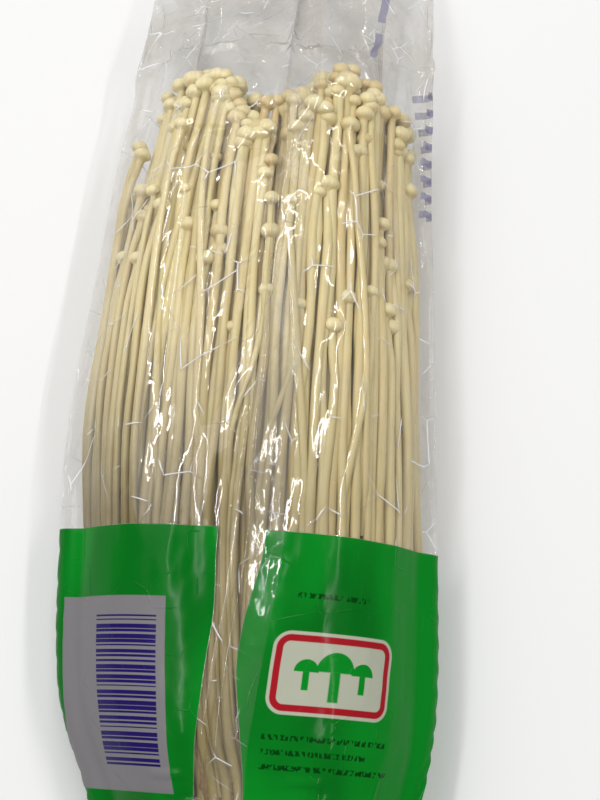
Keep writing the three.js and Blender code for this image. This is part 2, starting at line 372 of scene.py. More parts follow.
@dataclass
class Board:
    """Adds nodes to one node tree and wires them."""

    tree: bpy.types.NodeTree

    def add(self, kind: str, **settings: object) -> bpy.types.Node:
        """Adds a node.

        Args:
            kind: The node's type name.
            settings: Its properties, set by name.

        Returns:
            The node.
        """
        node = self.tree.nodes.new(kind)
        for name, value in settings.items():
            setattr(node, name, value)
        return node

    def feed(self, socket: Socket, value: object) -> None:
        """Links a socket to another, or sets its plain value.

        Args:
            socket: The input.
            value: A socket to link from, or a value.
        """
        if isinstance(value, bpy.types.NodeSocket):
            self.tree.links.new(value, socket)
        else:
            socket.default_value = value

    def math(self, operation: str, *values: Value, clamp: bool = False) -> Socket:
        """Does one sum on numbers or sockets.

        Args:
            operation: The Math node's operation.
            values: Its inputs, in order.
            clamp: Whether the result is kept from 0 to 1.

        Returns:
            The result's socket.
        """
        node = self.add("ShaderNodeMath", operation=operation, use_clamp=clamp)
        for socket, value in zip(node.inputs, values):
            self.feed(socket, value)
        return node.outputs[0]

    def total(self, *values: Value) -> Socket:
        """Adds up two or more numbers or sockets."""
        return functools.reduce(lambda first, second: self.math("ADD", first, second), values)

    def product(self, *values: Value) -> Socket:
        """Multiplies two or more numbers or sockets."""
        return functools.reduce(lambda first, second: self.math("MULTIPLY", first, second), values)

    def split(self, place: Socket) -> tuple[Socket, Socket]:
        """Takes a place apart.

        Args:
            place: The place's socket.

        Returns:
            The sockets of its x and its y.
        """
        node = self.add("ShaderNodeSeparateXYZ")
        self.feed(node.inputs[0], place)
        return node.outputs[0], node.outputs[1]

    def flat_place(self, x: Value, y: Value) -> Socket:
        """Makes a place from its x and its y.

        Args:
            x: The place's x.
            y: The place's y.

        Returns:
            The place's socket.
        """
        node = self.add("ShaderNodeCombineXYZ")
        self.feed(node.inputs[0], x)
        self.feed(node.inputs[1], y)
        return node.outputs[0]

    def ramp(
        self, value: Value, low: Value, high: Value, out: tuple[float, float] = (0.0, 1.0)
    ) -> Socket:
        """Maps a number smoothly from one range to another.

        Args:
            value: The number.
            low: Where the ramp starts.
            high: Where it ends.
            out: The results at its two ends.

        Returns:
            The mapped number's socket.
        """
        node = self.add("ShaderNodeMapRange", interpolation_type="SMOOTHSTEP")
        names = ("Value", "From Min", "From Max", "To Min", "To Max")
        for name, given in zip(names, (value, low, high, *out)):
            self.feed(node.inputs[name], given)
        return node.outputs["Result"]

    def within(self, value: Value, low: Value, high: Value, soft: float) -> Socket:
        """A mask that is 1 between two limits and 0 outside them, with soft edges.

        Args:
            value: The number that is looked at.
            low: The lower limit.
            high: The upper limit.
            soft: Half the width of an edge.

        Returns:
            The mask's socket.
        """
        lower = self.ramp(value, self.math("SUBTRACT", low, soft), self.math("ADD", low, soft))
        upper = self.ramp(value, self.math("SUBTRACT", high, soft), self.math("ADD", high, soft))
        return self.product(lower, self.math("SUBTRACT", 1.0, upper))

    def blend(self, factor: Value, first: object, second: object) -> Socket:
        """Mixes two colours, each a socket or an RGB triple.

        Args:
            factor: How much of the second colour is taken.
            first: The first colour.
            second: The second colour.

        Returns:
            The mixed colour's socket.
        """
        node = self.add("ShaderNodeMix", data_type="RGBA")
        self.feed(node.inputs[0], factor)
        for socket, colour in zip((node.inputs[6], node.inputs[7]), (first, second)):
            self.feed(socket, colour if isinstance(colour, bpy.types.NodeSocket) else (*colour, 1.0))
        return node.outputs[2]

    def noise(
        self,
        place: Socket,
        scale: Value,
        detail: float,
        stretch: Optional[Sequence[float]] = None,
        flat: bool = False,
    ) -> Socket:
        """Cloudy noise.

        Args:
            place: The coordinates.
            scale: Features in a metre.
            detail: Octaves.
            stretch: How much finer or coarser the noise is along each axis, where it isn't even.
            flat: Whether only x and y count.

        Returns:
            The noise's value, from 0 to 1.
        """
        if stretch is not None:
            mapping = self.add("ShaderNodeMapping")
            self.feed(mapping.inputs["Vector"], place)
            mapping.inputs["Scale"].default_value = stretch
            place = mapping.outputs[0]
        node = self.add("ShaderNodeTexNoise", noise_dimensions="2D" if flat else "3D")
        self.feed(node.inputs["Vector"], place)
        self.feed(node.inputs["Scale"], scale)
        node.inputs["Detail"].default_value = detail
        return node.outputs[0]

    def attribute(self, name: str) -> Socket:
        """A number stored on the mesh."""
        return self.add("ShaderNodeAttribute", attribute_name=name).outputs["Fac"]

    def bump(self, height: Socket, distance: float, strength: float = 1.0) -> Socket:
        """A bumped normal from a height of 0 to 1 that stands for a distance in metres.

        Args:
            height: The height's socket.
            distance: What a height of 1 stands for.
            strength: How much of the bump is used.

        Returns:
            The normal's socket.
        """
        node = self.add("ShaderNodeBump")
        node.inputs["Strength"].default_value = strength
        node.inputs["Distance"].default_value = distance
        self.feed(node.inputs["Height"], height)
        return node.outputs[0]


def new_group(name: str, inputs: Sequence[str], outputs: Sequence[str]) -> tuple[Board, dict, dict]:
    """Starts a shader node group with number sockets.

    Args:
        name: The group's name.
        inputs: Names of its inputs. One called Place is a vector.
        outputs: Names of its outputs.

    Returns:
        The group's board, its input sockets and its output sockets, by name.
    """
    tree = bpy.data.node_groups.new(name, "ShaderNodeTree")
    for names, side in ((inputs, "INPUT"), (outputs, "OUTPUT")):
        for socket in names:
            kind = "NodeSocketVector" if socket == "Place" else "NodeSocketFloat"
            tree.interface.new_socket(name=socket, in_out=side, socket_type=kind)
    board = Board(tree)
    entry = board.add("NodeGroupInput")
    outlet = board.add("NodeGroupOutput")
    given = {name: entry.outputs[name] for name in inputs}
    made = {name: outlet.inputs[name] for name in outputs}
    return board, given, made


def use_group(board: Board, tree: bpy.types.NodeTree, **values: object) -> dict:
    """Places a group in a tree with its own values, and gives its outputs by name.

    Args:
        board: The tree's board.
        tree: The group.
        values: Its inputs, set by name.

    Returns:
        The outputs.
    """
    node = board.add("ShaderNodeGroup", node_tree=tree)
    for name, value in values.items():
        board.feed(node.inputs[name], value)
    return {output.name: output for output in node.outputs}


def mottle_group() -> bpy.types.NodeTree:
    """Soft blotches and fine fibres that run along the pack, for every surface of the bunch.

    Returns:
        The group.
    """
    inputs = ["Place", "Blotch scale", "Fibre scale"]
    board, given, made = new_group("flesh_mottle", inputs, ["Blotch", "Fibre"])
    along_the_pack = (1.0, 0.06, 1.0)
    board.feed(made["Blotch"], board.noise(given["Place"], given["Blotch scale"], 3.0))
    board.feed(made["Fibre"], board.noise(given["Place"], given["Fibre scale"], 2.0, along_the_pack))
    return board.tree


def crease_group() -> bpy.types.NodeTree:
    """Thin folds that meet at corners, as in film that was crumpled and pulled straight again.

    Returns:
        The group.
    """
    board, given, made = new_group("film_crease", ["Place", "Scale", "Width", "Cover"], ["Fold"])
    cells = board.add("ShaderNodeTexVoronoi", feature="DISTANCE_TO_EDGE", voronoi_dimensions="2D")
    board.feed(cells.inputs["Vector"], given["Place"])
    board.feed(cells.inputs["Scale"], given["Scale"])
    patch = board.noise(given["Place"], board.product(given["Scale"], 1.1), 1.0, flat=True)
    least = board.math("SUBTRACT", 0.72, board.product(given["Cover"], 0.44))
    shown = board.ramp(patch, least, board.total(least, 0.14))
    width = board.product(given["Width"], board.math("MAXIMUM", shown, 0.1))
    ridge = board.ramp(cells.outputs["Distance"], 0.0, width, (1.0, 0.0))
    board.feed(made["Fold"], board.product(ridge, shown))
    return board.tree


def new_material(name: str) -> tuple[bpy.types.Material, Board, bpy.types.Node]:
    """A material with a plain Principled shader, its board and that shader.

    Args:
        name: The material's name.

    Returns:
        The material, the board and the shader.
    """
    material = bpy.data.materials.new(name)
    material.use_nodes = True
    return material, Board(material.node_tree), material.node_tree.nodes["Principled BSDF"]


# ---- Finishes ----

Colour = tuple[float, float, float]


@dataclass(frozen=True)
class FleshFinish:
    """Waxy, slightly translucent mushroom flesh, browner towards the root, with painted shade on the
    deeper layers and painted light that pales the right side near the root.
    """

    stem: Colour = (0.76, 0.645, 0.335)
    cap: Colour = (0.90, 0.80, 0.47)
    # The darker flesh that fibres take on, and also the painted shade of the deeper layers.
    shade: Colour = (0.56, 0.38, 0.14)
    root: Colour = (0.160, 0.112, 0.018)
    fibre_shade: float = 0.24  # the most that fibres darken a stem
    browning_and_depth_shade: float = 0.55  # the most that a mushroom as a whole is darkened: its own brown tone, plus painted shade on the deeper layers
    root_fade: tuple[float, float] = (0.010, -0.044)  # along Y, from none of the root's colour to all
    root_share: float = 0.97
    painted_light_side: tuple[float, float] = (0.035, -0.020)  # across X, from the side made paler by painted light to the full colour
    # How much of the root's brown is left on the side with painted light.
    painted_light_share: float = 0.28
    roughness: float = 0.42
    glow: float = 0.25  # how much of the light goes through the flesh
    glow_tint: Colour = (1.0, 0.62, 0.3)
    glow_reach: float = 0.0016
    relief: float = 0.00016

    def material(self, mottle: bpy.types.NodeTree) -> bpy.types.Material:
        """Builds the material.

        Args:
            mottle: The group that makes the blotches and fibres.

        Returns:
            The material.
        """
        material, board, shader = new_material("mushroom_flesh")
        place = board.add("ShaderNodeTexCoord").outputs["Object"]
        x, y = board.split(place)
        pattern = use_group(board, mottle, Place=place, **{"Blotch scale": 90.0, "Fibre scale": 1500.0})
        blotch, fibre = pattern["Blotch"], pattern["Fibre"]
        tone = board.blend(board.ramp(board.attribute("cap_share"), 0.1, 0.75), self.stem, self.cap)
        dull = board.product(board.ramp(fibre, 0.42, 0.72), self.fibre_shade)
        tone = board.blend(dull, tone, self.shade)
        # Each mushroom's stored value browns it: partly a random tone of its own, partly painted shade
        # that deepens layer by layer.
        brown_and_depth_shade = board.ramp(board.attribute("tint_and_depth_shade"), 0.3, 1.5, (0.0, self.browning_and_depth_shade))
        tone = board.blend(brown_and_depth_shade, tone, self.shade)
        # The root's brown fades towards the right side: painted light that makes that side paler.
        rootward = board.product(
            board.ramp(y, *self.root_fade, (0.0, self.root_share)),
            board.ramp(x, *self.painted_light_side, (self.painted_light_share, 1.0)),
            board.ramp(blotch, 0.2, 0.8, (0.8, 1.0)),
        )
        board.feed(shader.inputs["Base Color"], board.blend(rootward, tone, self.root))
        rough = board.ramp(blotch, 0.3, 0.7, (self.roughness - 0.08, self.roughness + 0.14))
        board.feed(shader.inputs["Roughness"], rough)
        shader.inputs["Subsurface Weight"].default_value = self.glow
        shader.inputs["Subsurface Radius"].default_value = self.glow_tint
        shader.inputs["Subsurface Scale"].default_value = self.glow_reach
        height = board.total(board.product(fibre, 0.4), blotch)
        board.feed(shader.inputs["Normal"], board.bump(height, self.relief, 0.5))
        return material


@dataclass(frozen=True)
class RootFinish:
    """The root block's felted flesh, stained by what it grew in."""

    flesh: Colour = (0.36, 0.26, 0.115)
    stain: Colour = (0.16, 0.095, 0.045)
    stems: Colour = (0.60, 0.44, 0.19)
    stems_fade: tuple[float, float] = (-0.050, -0.015)  # along Y, from the block's colour to the stems'
    stain_fade: tuple[float, float] = (-0.060, -0.1035)  # along Y, from no stains to the most
    roughness: float = 0.7
    relief: float = 0.0006

    def material(self, mottle: bpy.types.NodeTree) -> bpy.types.Material:
        """Builds the material.

        Args:
            mottle: The group that makes the blotches and fibres.

        Returns:
            The material.
        """
        material, board, shader = new_material("root_flesh")
        place = board.add("ShaderNodeTexCoord").outputs["Object"]
        _, y = board.split(place)
        pattern = use_group(board, mottle, Place=place, **{"Blotch scale": 160.0, "Fibre scale": 700.0})
        crumb = board.noise(place, 900.0, 5.0)
        tone = board.blend(board.ramp(y, *self.stems_fade), self.flesh, self.stems)
        patchy = board.product(board.ramp(y, *self.stain_fade), board.ramp(pattern["Blotch"], 0.34, 0.62))
        tone = board.blend(patchy, tone, self.stain)
        crumbs = board.product(board.ramp(crumb, 0.55, 0.75), 0.5)
        board.feed(shader.inputs["Base Color"], board.blend(crumbs, tone, self.stain))
        board.feed(shader.inputs["Roughness"], board.ramp(crumb, 0.3, 0.7, (self.roughness - 0.1, 0.95)))
        height = board.total(crumb, pattern["Fibre"])
        board.feed(shader.inputs["Normal"], board.bump(height, self.relief, 0.7))
        return material


@dataclass(frozen=True)
class PrintLayout:
    """Where the pouch is printed, in metres: across from the seam, left of it negative, and along Y.

    A box is given as its lowest and highest place across, then its lowest and highest place along.
    """

    band_top: float = -0.041
    clear_strip: float = 0.0048  # half its width
    strip_flare: tuple[float, float] = (0.0018, 0.0040)  # how much further it reaches at top and foot
    flare_top: tuple[float, float] = (-0.062, -0.043)  # along Y, where the upper flare starts and is full
    flare_foot: tuple[float, float] = (-0.066, -0.093)
    panel: tuple[float, float, float, float] = (-0.0460, -0.0158, -0.0960, -0.0560)
    panel_slant: float = 0.17
    bars: tuple[float, float, float, float] = (-0.0345, -0.0178, -0.0912, -0.0600)
    bar_pitch: float = 0.00105
    bar_waves: tuple[tuple[float, float], ...] = ((2.4, 0.24), (0.9, 0.14))  # pace and size
    badge_across: float = 0.0256
    badge_along: float = -0.0700
    badge_half: tuple[float, float] = (0.0138, 0.0086)
    badge_round: float = 0.0036
    badge_rim: float = 0.0007  # paper outside the border
    badge_border: float = 0.0021  # the rim and the border together
    pictograms: tuple[tuple[float, float], ...] = (  # place from the badge's middle and half width
        (0.0, 0.0042), (-0.0062, 0.0026), (0.0062, 0.0026),
    )
    small_print: tuple[tuple[float, float, float], ...] = (
        (0.0150, 0.0310, -0.0545), (0.0120, 0.0400, -0.0838), (0.0120, 0.0350, -0.0868),
        (0.0120, 0.0420, -0.0898),
    )
    small_height: float = 0.0011
    rungs: tuple[float, float, float, float] = (0.0415, 0.0485, 0.0350, 0.0670)
    rung_pitch: float = 0.0041
    rung_share: float = 0.42  # how much of the pitch a rung takes up
    strokes: tuple[float, float, float, float] = (0.0210, 0.0230, 0.0695, 0.1020)
    stroke_pitch: float = 0.0125
    stroke_share: float = 0.68
    edge: float = 0.00012


@dataclass(frozen=True)
class Inks:
    """The print's colours, and how much of the film they cover."""

    green: Colour = (0.002, 0.235, 0.016)
    panel: Colour = (0.200, 0.192, 0.200)
    bar: Colour = (0.016, 0.008, 0.11)
    border: Colour = (0.36, 0.010, 0.018)
    paper: Colour = (0.44, 0.46, 0.36)
    mark: Colour = (0.075, 0.065, 0.26)
    thick_coat_and_shade: float = 0.62  # the green's brightness where its coat is thick, and where painted shade darkens it left of the seam
    small_print: float = 0.22  # the green's brightness in the small print
    cover: float = 0.985
    mark_cover: float = 0.7

    def dark_green(self, brightness: float) -> Colour:
        """The green at a share of its brightness."""
        red, green, blue = (channel * brightness for channel in self.green)
        return (red, green, blue)


@dataclass(frozen=True)
class Print:
    """Draws the print on one material's board. Nothing in it says or encodes anything."""

    board: Board
    across: Socket  # distance round the web from the seam, in metres, negative to its left
    along: Socket  # distance along the pack, in metres
    layout: PrintLayout
    inks: Inks

    def paint(self) -> tuple[Socket, Socket]:
        """Draws the whole print.

        Returns:
            The printed colour and the share of the film that the ink covers.
        """
        board, layout, inks = self.board, self.layout, self.inks
        tone = self._badge(self._small_print(self._bars(self._green())))
        rungs = self._row_of_marks(layout.rungs, layout.rung_pitch, layout.rung_share)
        strokes = self._row_of_marks(layout.strokes, layout.stroke_pitch, layout.stroke_share)
        marks = board.math("MAXIMUM", rungs, strokes)
        band = board.product(self._band(), inks.cover)
        cover = board.total(band, board.product(marks, inks.mark_cover))
        return board.blend(marks, tone, inks.mark), cover

    def _green(self) -> Socket:
        """The band's green, uneven, with painted shade that darkens it left of the seam and painted light
        that brightens it to the right.

        Returns:
            The colour's socket.
        """
        board, inks = self.board, self.inks
        place = board.flat_place(self.across, self.along)
        wash = board.noise(place, 60.0, 1.0, (1.0, 0.35, 1.0), flat=True)
        # Painted light and shade: the green grows brighter right of the seam and darker to its left.
        wash = board.total(wash, board.ramp(self.across, -0.02, 0.02, (-0.08, 0.12)))
        return board.blend(board.ramp(wash, 0.36, 0.68), inks.dark_green(inks.thick_coat_and_shade), inks.green)

    def _bars(self, tone: Socket) -> Socket:
        """Paints the pale panel and its ladder of uneven bars.

        Args:
            tone: The colour below.

        Returns:
            The painted colour.
        """
        board, layout, inks = self.board, self.layout, self.inks
        lean = board.product(board.math("SUBTRACT", self.along, layout.panel[3]), layout.panel_slant)
        x = board.total(self.across, lean)
        tone = board.blend(self._box(x, layout.panel), tone, inks.panel)
        count = board.math("DIVIDE", self.along, layout.bar_pitch)
        waves = (
            board.product(board.math("SINE", board.product(count, pace)), size)
            for pace, size in layout.bar_waves
        )
        uneven = board.total(board.math("FRACT", count), board.total(*waves))
        bar = board.product(board.ramp(uneven, 0.34, 0.46), self._box(x, layout.bars))
        return board.blend(bar, tone, inks.bar)

    def _small_print(self, tone: Socket) -> Socket:
        """Paints lines of small dark dashes that can't be read.

        Args:
            tone: The colour below.

        Returns:
            The painted colour.
        """
        board, layout, inks = self.board, self.layout, self.inks
        place = board.flat_place(self.across, self.along)
        dashes = board.ramp(board.noise(place, 1500.0, 1.0, (1.0, 0.45, 1.0), flat=True), 0.44, 0.54)
        for start, end, line in layout.small_print:
            row = self._box(self.across, (start, end, line, line + layout.small_height))
            tone = board.blend(board.product(row, dashes), tone, inks.dark_green(inks.small_print))
        return tone

    def _badge(self, tone: Socket) -> Socket:
        """Paints the badge: a pale rounded panel with a thin border and three pictograms.

        Args:
            tone: The colour below.

        Returns:
            The painted colour.
        """
        board, layout, inks = self.board, self.layout, self.inks
        x = board.math("SUBTRACT", self.across, layout.badge_across)
        y = board.math("SUBTRACT", self.along, layout.badge_along)
        for inset, colour in (
            (0.0, inks.paper), (layout.badge_rim, inks.border), (layout.badge_border, inks.paper),
        ):
            tone = board.blend(self._rounded_box(x, y, inset), tone, colour)
        for shift, size in layout.pictograms:
            tone = board.blend(self._little_mushroom(x, y, shift, size), tone, inks.green)
        return tone

    def _rounded_box(self, x: Socket, y: Socket, inset: float) -> Socket:
        """A mask of the badge's rounded outline.

        Args:
            x: Distance across from the badge's middle.
            y: Distance along from the badge's middle.
            inset: How far the outline is drawn in.

        Returns:
            The mask's socket.
        """
        board, layout = self.board, self.layout
        half_x, half_y = (half - inset for half in layout.badge_half)
        radius = layout.badge_round - inset
        past_x = board.math("SUBTRACT", board.math("ABSOLUTE", x), half_x - radius)
        past_y = board.math("SUBTRACT", board.math("ABSOLUTE", y), half_y - radius)
        outer_x, outer_y = board.math("MAXIMUM", past_x, 0.0), board.math("MAXIMUM", past_y, 0.0)
        squares = (board.product(outer, outer) for outer in (outer_x, outer_y))
        corner = board.math("SQRT", board.total(*squares))
        inner = board.math("MINIMUM", board.math("MAXIMUM", past_x, past_y), 0.0)
        outside = board.math("SUBTRACT", board.total(corner, inner), radius)
        return board.ramp(outside, -layout.edge, layout.edge, (1.0, 0.0))

    def _little_mushroom(self, x: Socket, y: Socket, shift: float, size: float) -> Socket:
        """A mask of a plain pictogram: a half-round cap on a straight stem.

        Args:
            x: Distance across from the badge's middle.
            y: Distance along from the badge's middle.
            shift: How far the mushroom stands from the middle.
            size: Half its cap's width.

        Returns:
            The mask's socket.
        """
        board = self.board
        dx = board.math("DIVIDE", board.math("SUBTRACT", x, shift), size)
        dy = board.math("DIVIDE", board.math("SUBTRACT", y, size * 0.15), size)
        reach = board.total(board.product(dx, dx), board.product(dy, dy))
        cap = board.product(board.ramp(reach, 0.94, 1.06, (1.0, 0.0)), board.ramp(dy, -0.04, 0.04))
        stem = board.product(board.within(dx, -0.27, 0.27, 0.05), board.within(dy, -1.45, 0.05, 0.05))
        return board.math("MAXIMUM", cap, stem)

    def _row_of_marks(self, box: Sequence[float], pitch: float, share: float) -> Socket:
        """A mask of equal oblong marks that follow each other along the pack.

        Args:
            box: The row's four sides.
            pitch: The distance from one mark's start to the next.
            share: How much of the pitch a mark takes up.

        Returns:
            The mask's socket.
        """
        board = self.board
        count = board.math("DIVIDE", board.math("SUBTRACT", self.along, box[2]), pitch)
        mark = board.ramp(board.math("FRACT", count), share - 0.03, share + 0.03, (1.0, 0.0))
        return board.product(mark, self._box(self.across, box))

    def _band(self) -> Socket:
        """A mask of the printed band, which leaves a clear strip at the seam.

        Returns:
            The mask's socket.
        """
        board, layout = self.board, self.layout
        flare_top, flare_foot = layout.strip_flare
        at_top = board.ramp(self.along, *layout.flare_top, (0.0, flare_top))
        at_foot = board.ramp(self.along, *layout.flare_foot, (0.0, flare_foot))
        left = board.math("SUBTRACT", -layout.clear_strip, at_top)
        right = board.total(layout.clear_strip, at_top, at_foot)
        strip = board.within(self.across, left, right, layout.edge)
        top, edge = layout.band_top, layout.edge
        below = board.ramp(self.along, top - edge, top + edge, (1.0, 0.0))
        return board.product(below, board.math("SUBTRACT", 1.0, strip))

    def _box(self, x: Socket, box: Sequence[float]) -> Socket:
        """A mask of a rectangle.

        Args:
            x: Place across, slanted where the rectangle is.
            box: Its lowest and highest place across, and then along.

        Returns:
            The mask's socket.
        """
        x_low, x_high, y_low, y_high = box
        across = self.board.within(x, x_low, x_high, self.layout.edge)
        return self.board.product(across, self.board.within(self.along, y_low, y_high, self.layout.edge))


@dataclass(frozen=True)
class FilmFinish:
    """Clear glossy film: nearly invisible head on, bright at a slant, milky where it is creased, with
    white crease lines that are partly that milkiness and partly painted glints.
    """

    layout: PrintLayout = PrintLayout()
    inks: Inks = Inks()
    veil: Colour = (0.50, 0.455, 0.385)
    # The creases' white: milky film and painted glints.
    crease_milk_and_glint_colour: Colour = (0.95, 0.95, 0.96)
    mirror: Colour = (0.93, 0.94, 0.97)
    gloss: float = 0.05
    edge_gloss: float = 0.7
    haze: float = 0.03
    sheen: float = 0.08
    fold_count: float = 105.0  # folds in a metre
    fold_width: float = 0.029
    fold_cover: float = 0.55
    relief: float = 0.0002

    def material(self, crease: bpy.types.NodeTree) -> bpy.types.Material:
        """Builds the material.

        Args:
            crease: The group that makes thin folds.

        Returns:
            The material.
        """
        material, board, shader = new_material("printed_film")
        across, along = board.split(board.add("ShaderNodeUVMap", uv_map="web").outputs[0])
        place = board.add("ShaderNodeUVMap", uv_map="sheet").outputs[0]
        in_seam = board.attribute("fin_share")
        tone, cover = Print(board, across, along, self.layout, self.inks).paint()
        bare = board.math("SUBTRACT", 1.0, board.math("DIVIDE", cover, self.inks.cover), clamp=True)
        sizes = {"Scale": self.fold_count, "Width": self.fold_width, "Cover": self.fold_cover}
        folds = use_group(board, crease, Place=place, **sizes)["Fold"]
        cloud = board.noise(place, 60.0, 2.0, flat=True)
        smudge = board.noise(place, 420.0, 1.0, (1.0, 0.5, 1.0), flat=True)
        # White crease lines, in patches and weaker on the seam: partly milky film, partly painted glints
        # that shine whatever the lamps do.
        crease_milk_and_glint = board.product(
            folds,
            board.ramp(cloud, 0.41, 0.57, (0.12, 0.76)),
            board.ramp(in_seam, 0.0, 1.0, (1.0, 0.35)),
        )
        haze = board.total(self._haze(board, across, along, in_seam, cloud, smudge), crease_milk_and_glint)
        height = board.total(folds, board.product(smudge, 0.45))
        height = board.product(height, board.ramp(bare, 0.0, 1.0, (0.3, 1.0)))
        normal = board.bump(height, self.relief, 0.8)
        board.feed(shader.inputs["Normal"], normal)
        mirror = self._mirror(board, normal, in_seam)
        clear = board.math("ADD", mirror, haze, clamp=True)
        board.feed(shader.inputs["Alpha"], board.math("MAXIMUM", clear, cover))
        bright = board.math("DIVIDE", mirror, board.math("MAXIMUM", clear, 0.001), clamp=True)
        film = board.blend(board.ramp(crease_milk_and_glint, 0.0, 0.2), self.veil, self.crease_milk_and_glint_colour)
        film = board.blend(bright, film, self.mirror)
        board.feed(shader.inputs["Base Color"], board.blend(bare, tone, film))
        board.feed(shader.inputs["Metallic"], board.product(bright, bare))
        rough = board.ramp(smudge, 0.3, 0.8, (0.035, 0.09))
        rough = board.total(rough, board.ramp(bare, 0.0, 1.0, (0.10, 0.0)))
        board.feed(shader.inputs["Roughness"], rough)
        shader.inputs["Specular IOR Level"].default_value = self.sheen
        return material

    def _haze(
        self, board: Board, across: Socket, along: Socket, in_seam: Socket, cloud: Socket, smudge: Socket
    ) -> Socket:
        """How milky the film is between its folds.

        Args:
            board: The material's board.
            across: Distance round the web from the seam.
            along: Distance along the pack.
            in_seam: The share of the seam's plies, from 0 to 1.
            cloud: Soft clouds.
            smudge: Fine smudges.

        Returns:
            The share's socket.
        """
        milky = board.product(board.ramp(cloud, 0.48, 0.78), 0.07)
        fleck = board.product(board.ramp(smudge, 0.60, 0.80), 0.06)
        empty = board.product(
            board.ramp(along, 0.055, 0.080), board.ramp(cloud, 0.35, 0.65, (0.06, 0.20))
        )
        plies = board.product(
            in_seam, board.ramp(along, 0.03, -0.01), board.ramp(along, -0.036, -0.046, (0.06, 0.0))
        )
        margin = board.ramp(board.math("ABSOLUTE", across), 0.036, 0.043, (0.0, 0.08))
        over_ink = board.product(in_seam, board.ramp(along, -0.038, -0.044))
        return board.product(
            board.total(milky, fleck, empty, self.haze, plies, margin),
            board.ramp(along, -0.010, -0.055, (1.0, 0.45)),
            board.ramp(over_ink, 0.0, 1.0, (1.0, 0.35)),
        )

    def _mirror(self, board: Board, normal: Socket, in_seam: Socket) -> Socket:
        """How much the film mirrors: a little head on and most at a slant.

        Args:
            board: The material's board.
            normal: The film's bumped normal.
            in_seam: The share of the seam's plies, from 0 to 1.

        Returns:
            The share's socket.
        """
        slant = board.add("ShaderNodeLayerWeight")
        slant.inputs["Blend"].default_value = 0.5
        board.feed(slant.inputs["Normal"], normal)
        at_edge = board.product(board.math("POWER", slant.outputs["Facing"], 5.0), self.edge_gloss)
        return board.product(board.total(at_edge, self.gloss), board.ramp(in_seam, 0.0, 1.0, (1.0, 0.5)))


@dataclass(frozen=True)
class FloorFinish:
    """A plain pale studio floor."""

    colour: Colour = (0.86, 0.86, 0.86)
    unevenness: float = 0.02

    def material(self) -> bpy.types.Material:
        """Builds the material, with a faint unevenness in its tone and gloss.

        Returns:
            The material.
        """
        material, board, shader = new_material("studio_floor")
        place = board.add("ShaderNodeTexCoord").outputs["Object"]
        cloud = board.noise(place, 3.0, 2.0)
        paler = tuple(channel * (1 + self.unevenness) for channel in self.colour)
        board.feed(shader.inputs["Base Color"], board.blend(cloud, self.colour, paler))
        board.feed(shader.inputs["Roughness"], board.ramp(cloud, 0.3, 0.7, (0.75, 0.85)))
        return material


# ---- The mushrooms ----


@dataclass(frozen=True)
class MushroomShape:
    """A straight mushroom of unit measures: its stem fills z from 0 to 1 and its cap z from 1 to 2."""

    sides: int
    stem_steps: int
    cap_rings: tuple[tuple[float, float], ...]  # depth under the tip and radius, in cap widths

    def build(self, name: str) -> bpy.types.Object:
        """Models it by extruding and resizing a disc, ring by ring.

        Args:
            name: The object's name.

        Returns:
            The closed mushroom, to be copied.
        """
        start_fresh()
        bpy.ops.mesh.primitive_circle_add(vertices=self.sides, radius=1.0, fill_type="NGON")
        shape = bpy.context.object
        shape.name = name
        bpy.ops.object.mode_set(mode="EDIT")
        for _ in range(self.stem_steps):
            self._grow(1.0 / self.stem_steps, 1.0)
        deepest, radius = self.cap_rings[0]
        bpy.ops.transform.resize(value=(radius, radius, 1.0))
        height = 0.0
        for depth, wide in self.cap_rings[1:]:
            self._grow(1.0 - depth / deepest - height, wide / radius)
            height, radius = 1.0 - depth / deepest, wide
        self._grow(1.0 - height, 1.0)
        bpy.ops.mesh.merge(type="CENTER")
        bpy.ops.mesh.select_all(action="SELECT")
        bpy.ops.mesh.normals_make_consistent(inside=False)
        bpy.ops.object.mode_set(mode="OBJECT")
        return shape

    @staticmethod
    def _grow(rise: float, widen: float) -> None:
        """Extrudes the selected end upwards and resizes it.

        Args:
            rise: How far it goes up.
            widen: How much wider it becomes.
        """
        bpy.ops.mesh.extrude_region_move(TRANSFORM_OT_translate={"value": (0.0, 0.0, rise)})
        if widen != 1.0:
            bpy.ops.transform.resize(value=(widen, widen, 1.0))


FULL_CAP = (
    (0.86, 0.23), (0.74, 0.245), (0.66, 0.37), (0.58, 0.465), (0.46, 0.50), (0.32, 0.475),
    (0.17, 0.385), (0.06, 0.24),
)
SIMPLE_CAP = ((0.82, 0.23), (0.66, 0.40), (0.48, 0.50), (0.24, 0.43), (0.07, 0.26))


Station = tuple[float, float, float]  # y, x and z of one point of a course


@dataclass(frozen=True)
class StemHabit:
    """What the stems have in common: how they sway, swell and leave the round."""

    wave_from: float = 38.0  # the shortest wave, in millimetres
    wave_spread: float = 46.0
    sway_across: tuple[float, float] = (0.34, 0.22)
    sway_up: float = 0.14
    free_after: float = 40.0  # how far from its root a stem sways in full
    still_near_tip: tuple[float, float] = (3.0, 14.0)  # where its sway ends and how long it takes
    least_sway: float = 0.25
    foot_swell: float = 1.1
    taper: float = 0.2
    knots: tuple[tuple[float, float, float], ...] = ((0.06, 9.0, 1.0), (0.04, 3.7, 2.0))
    stem_oval: float = 0.22
    cap_oval: float = 0.09
    cap_sunk: float = 0.9  # the share of its depth that a cap reaches down from the tip


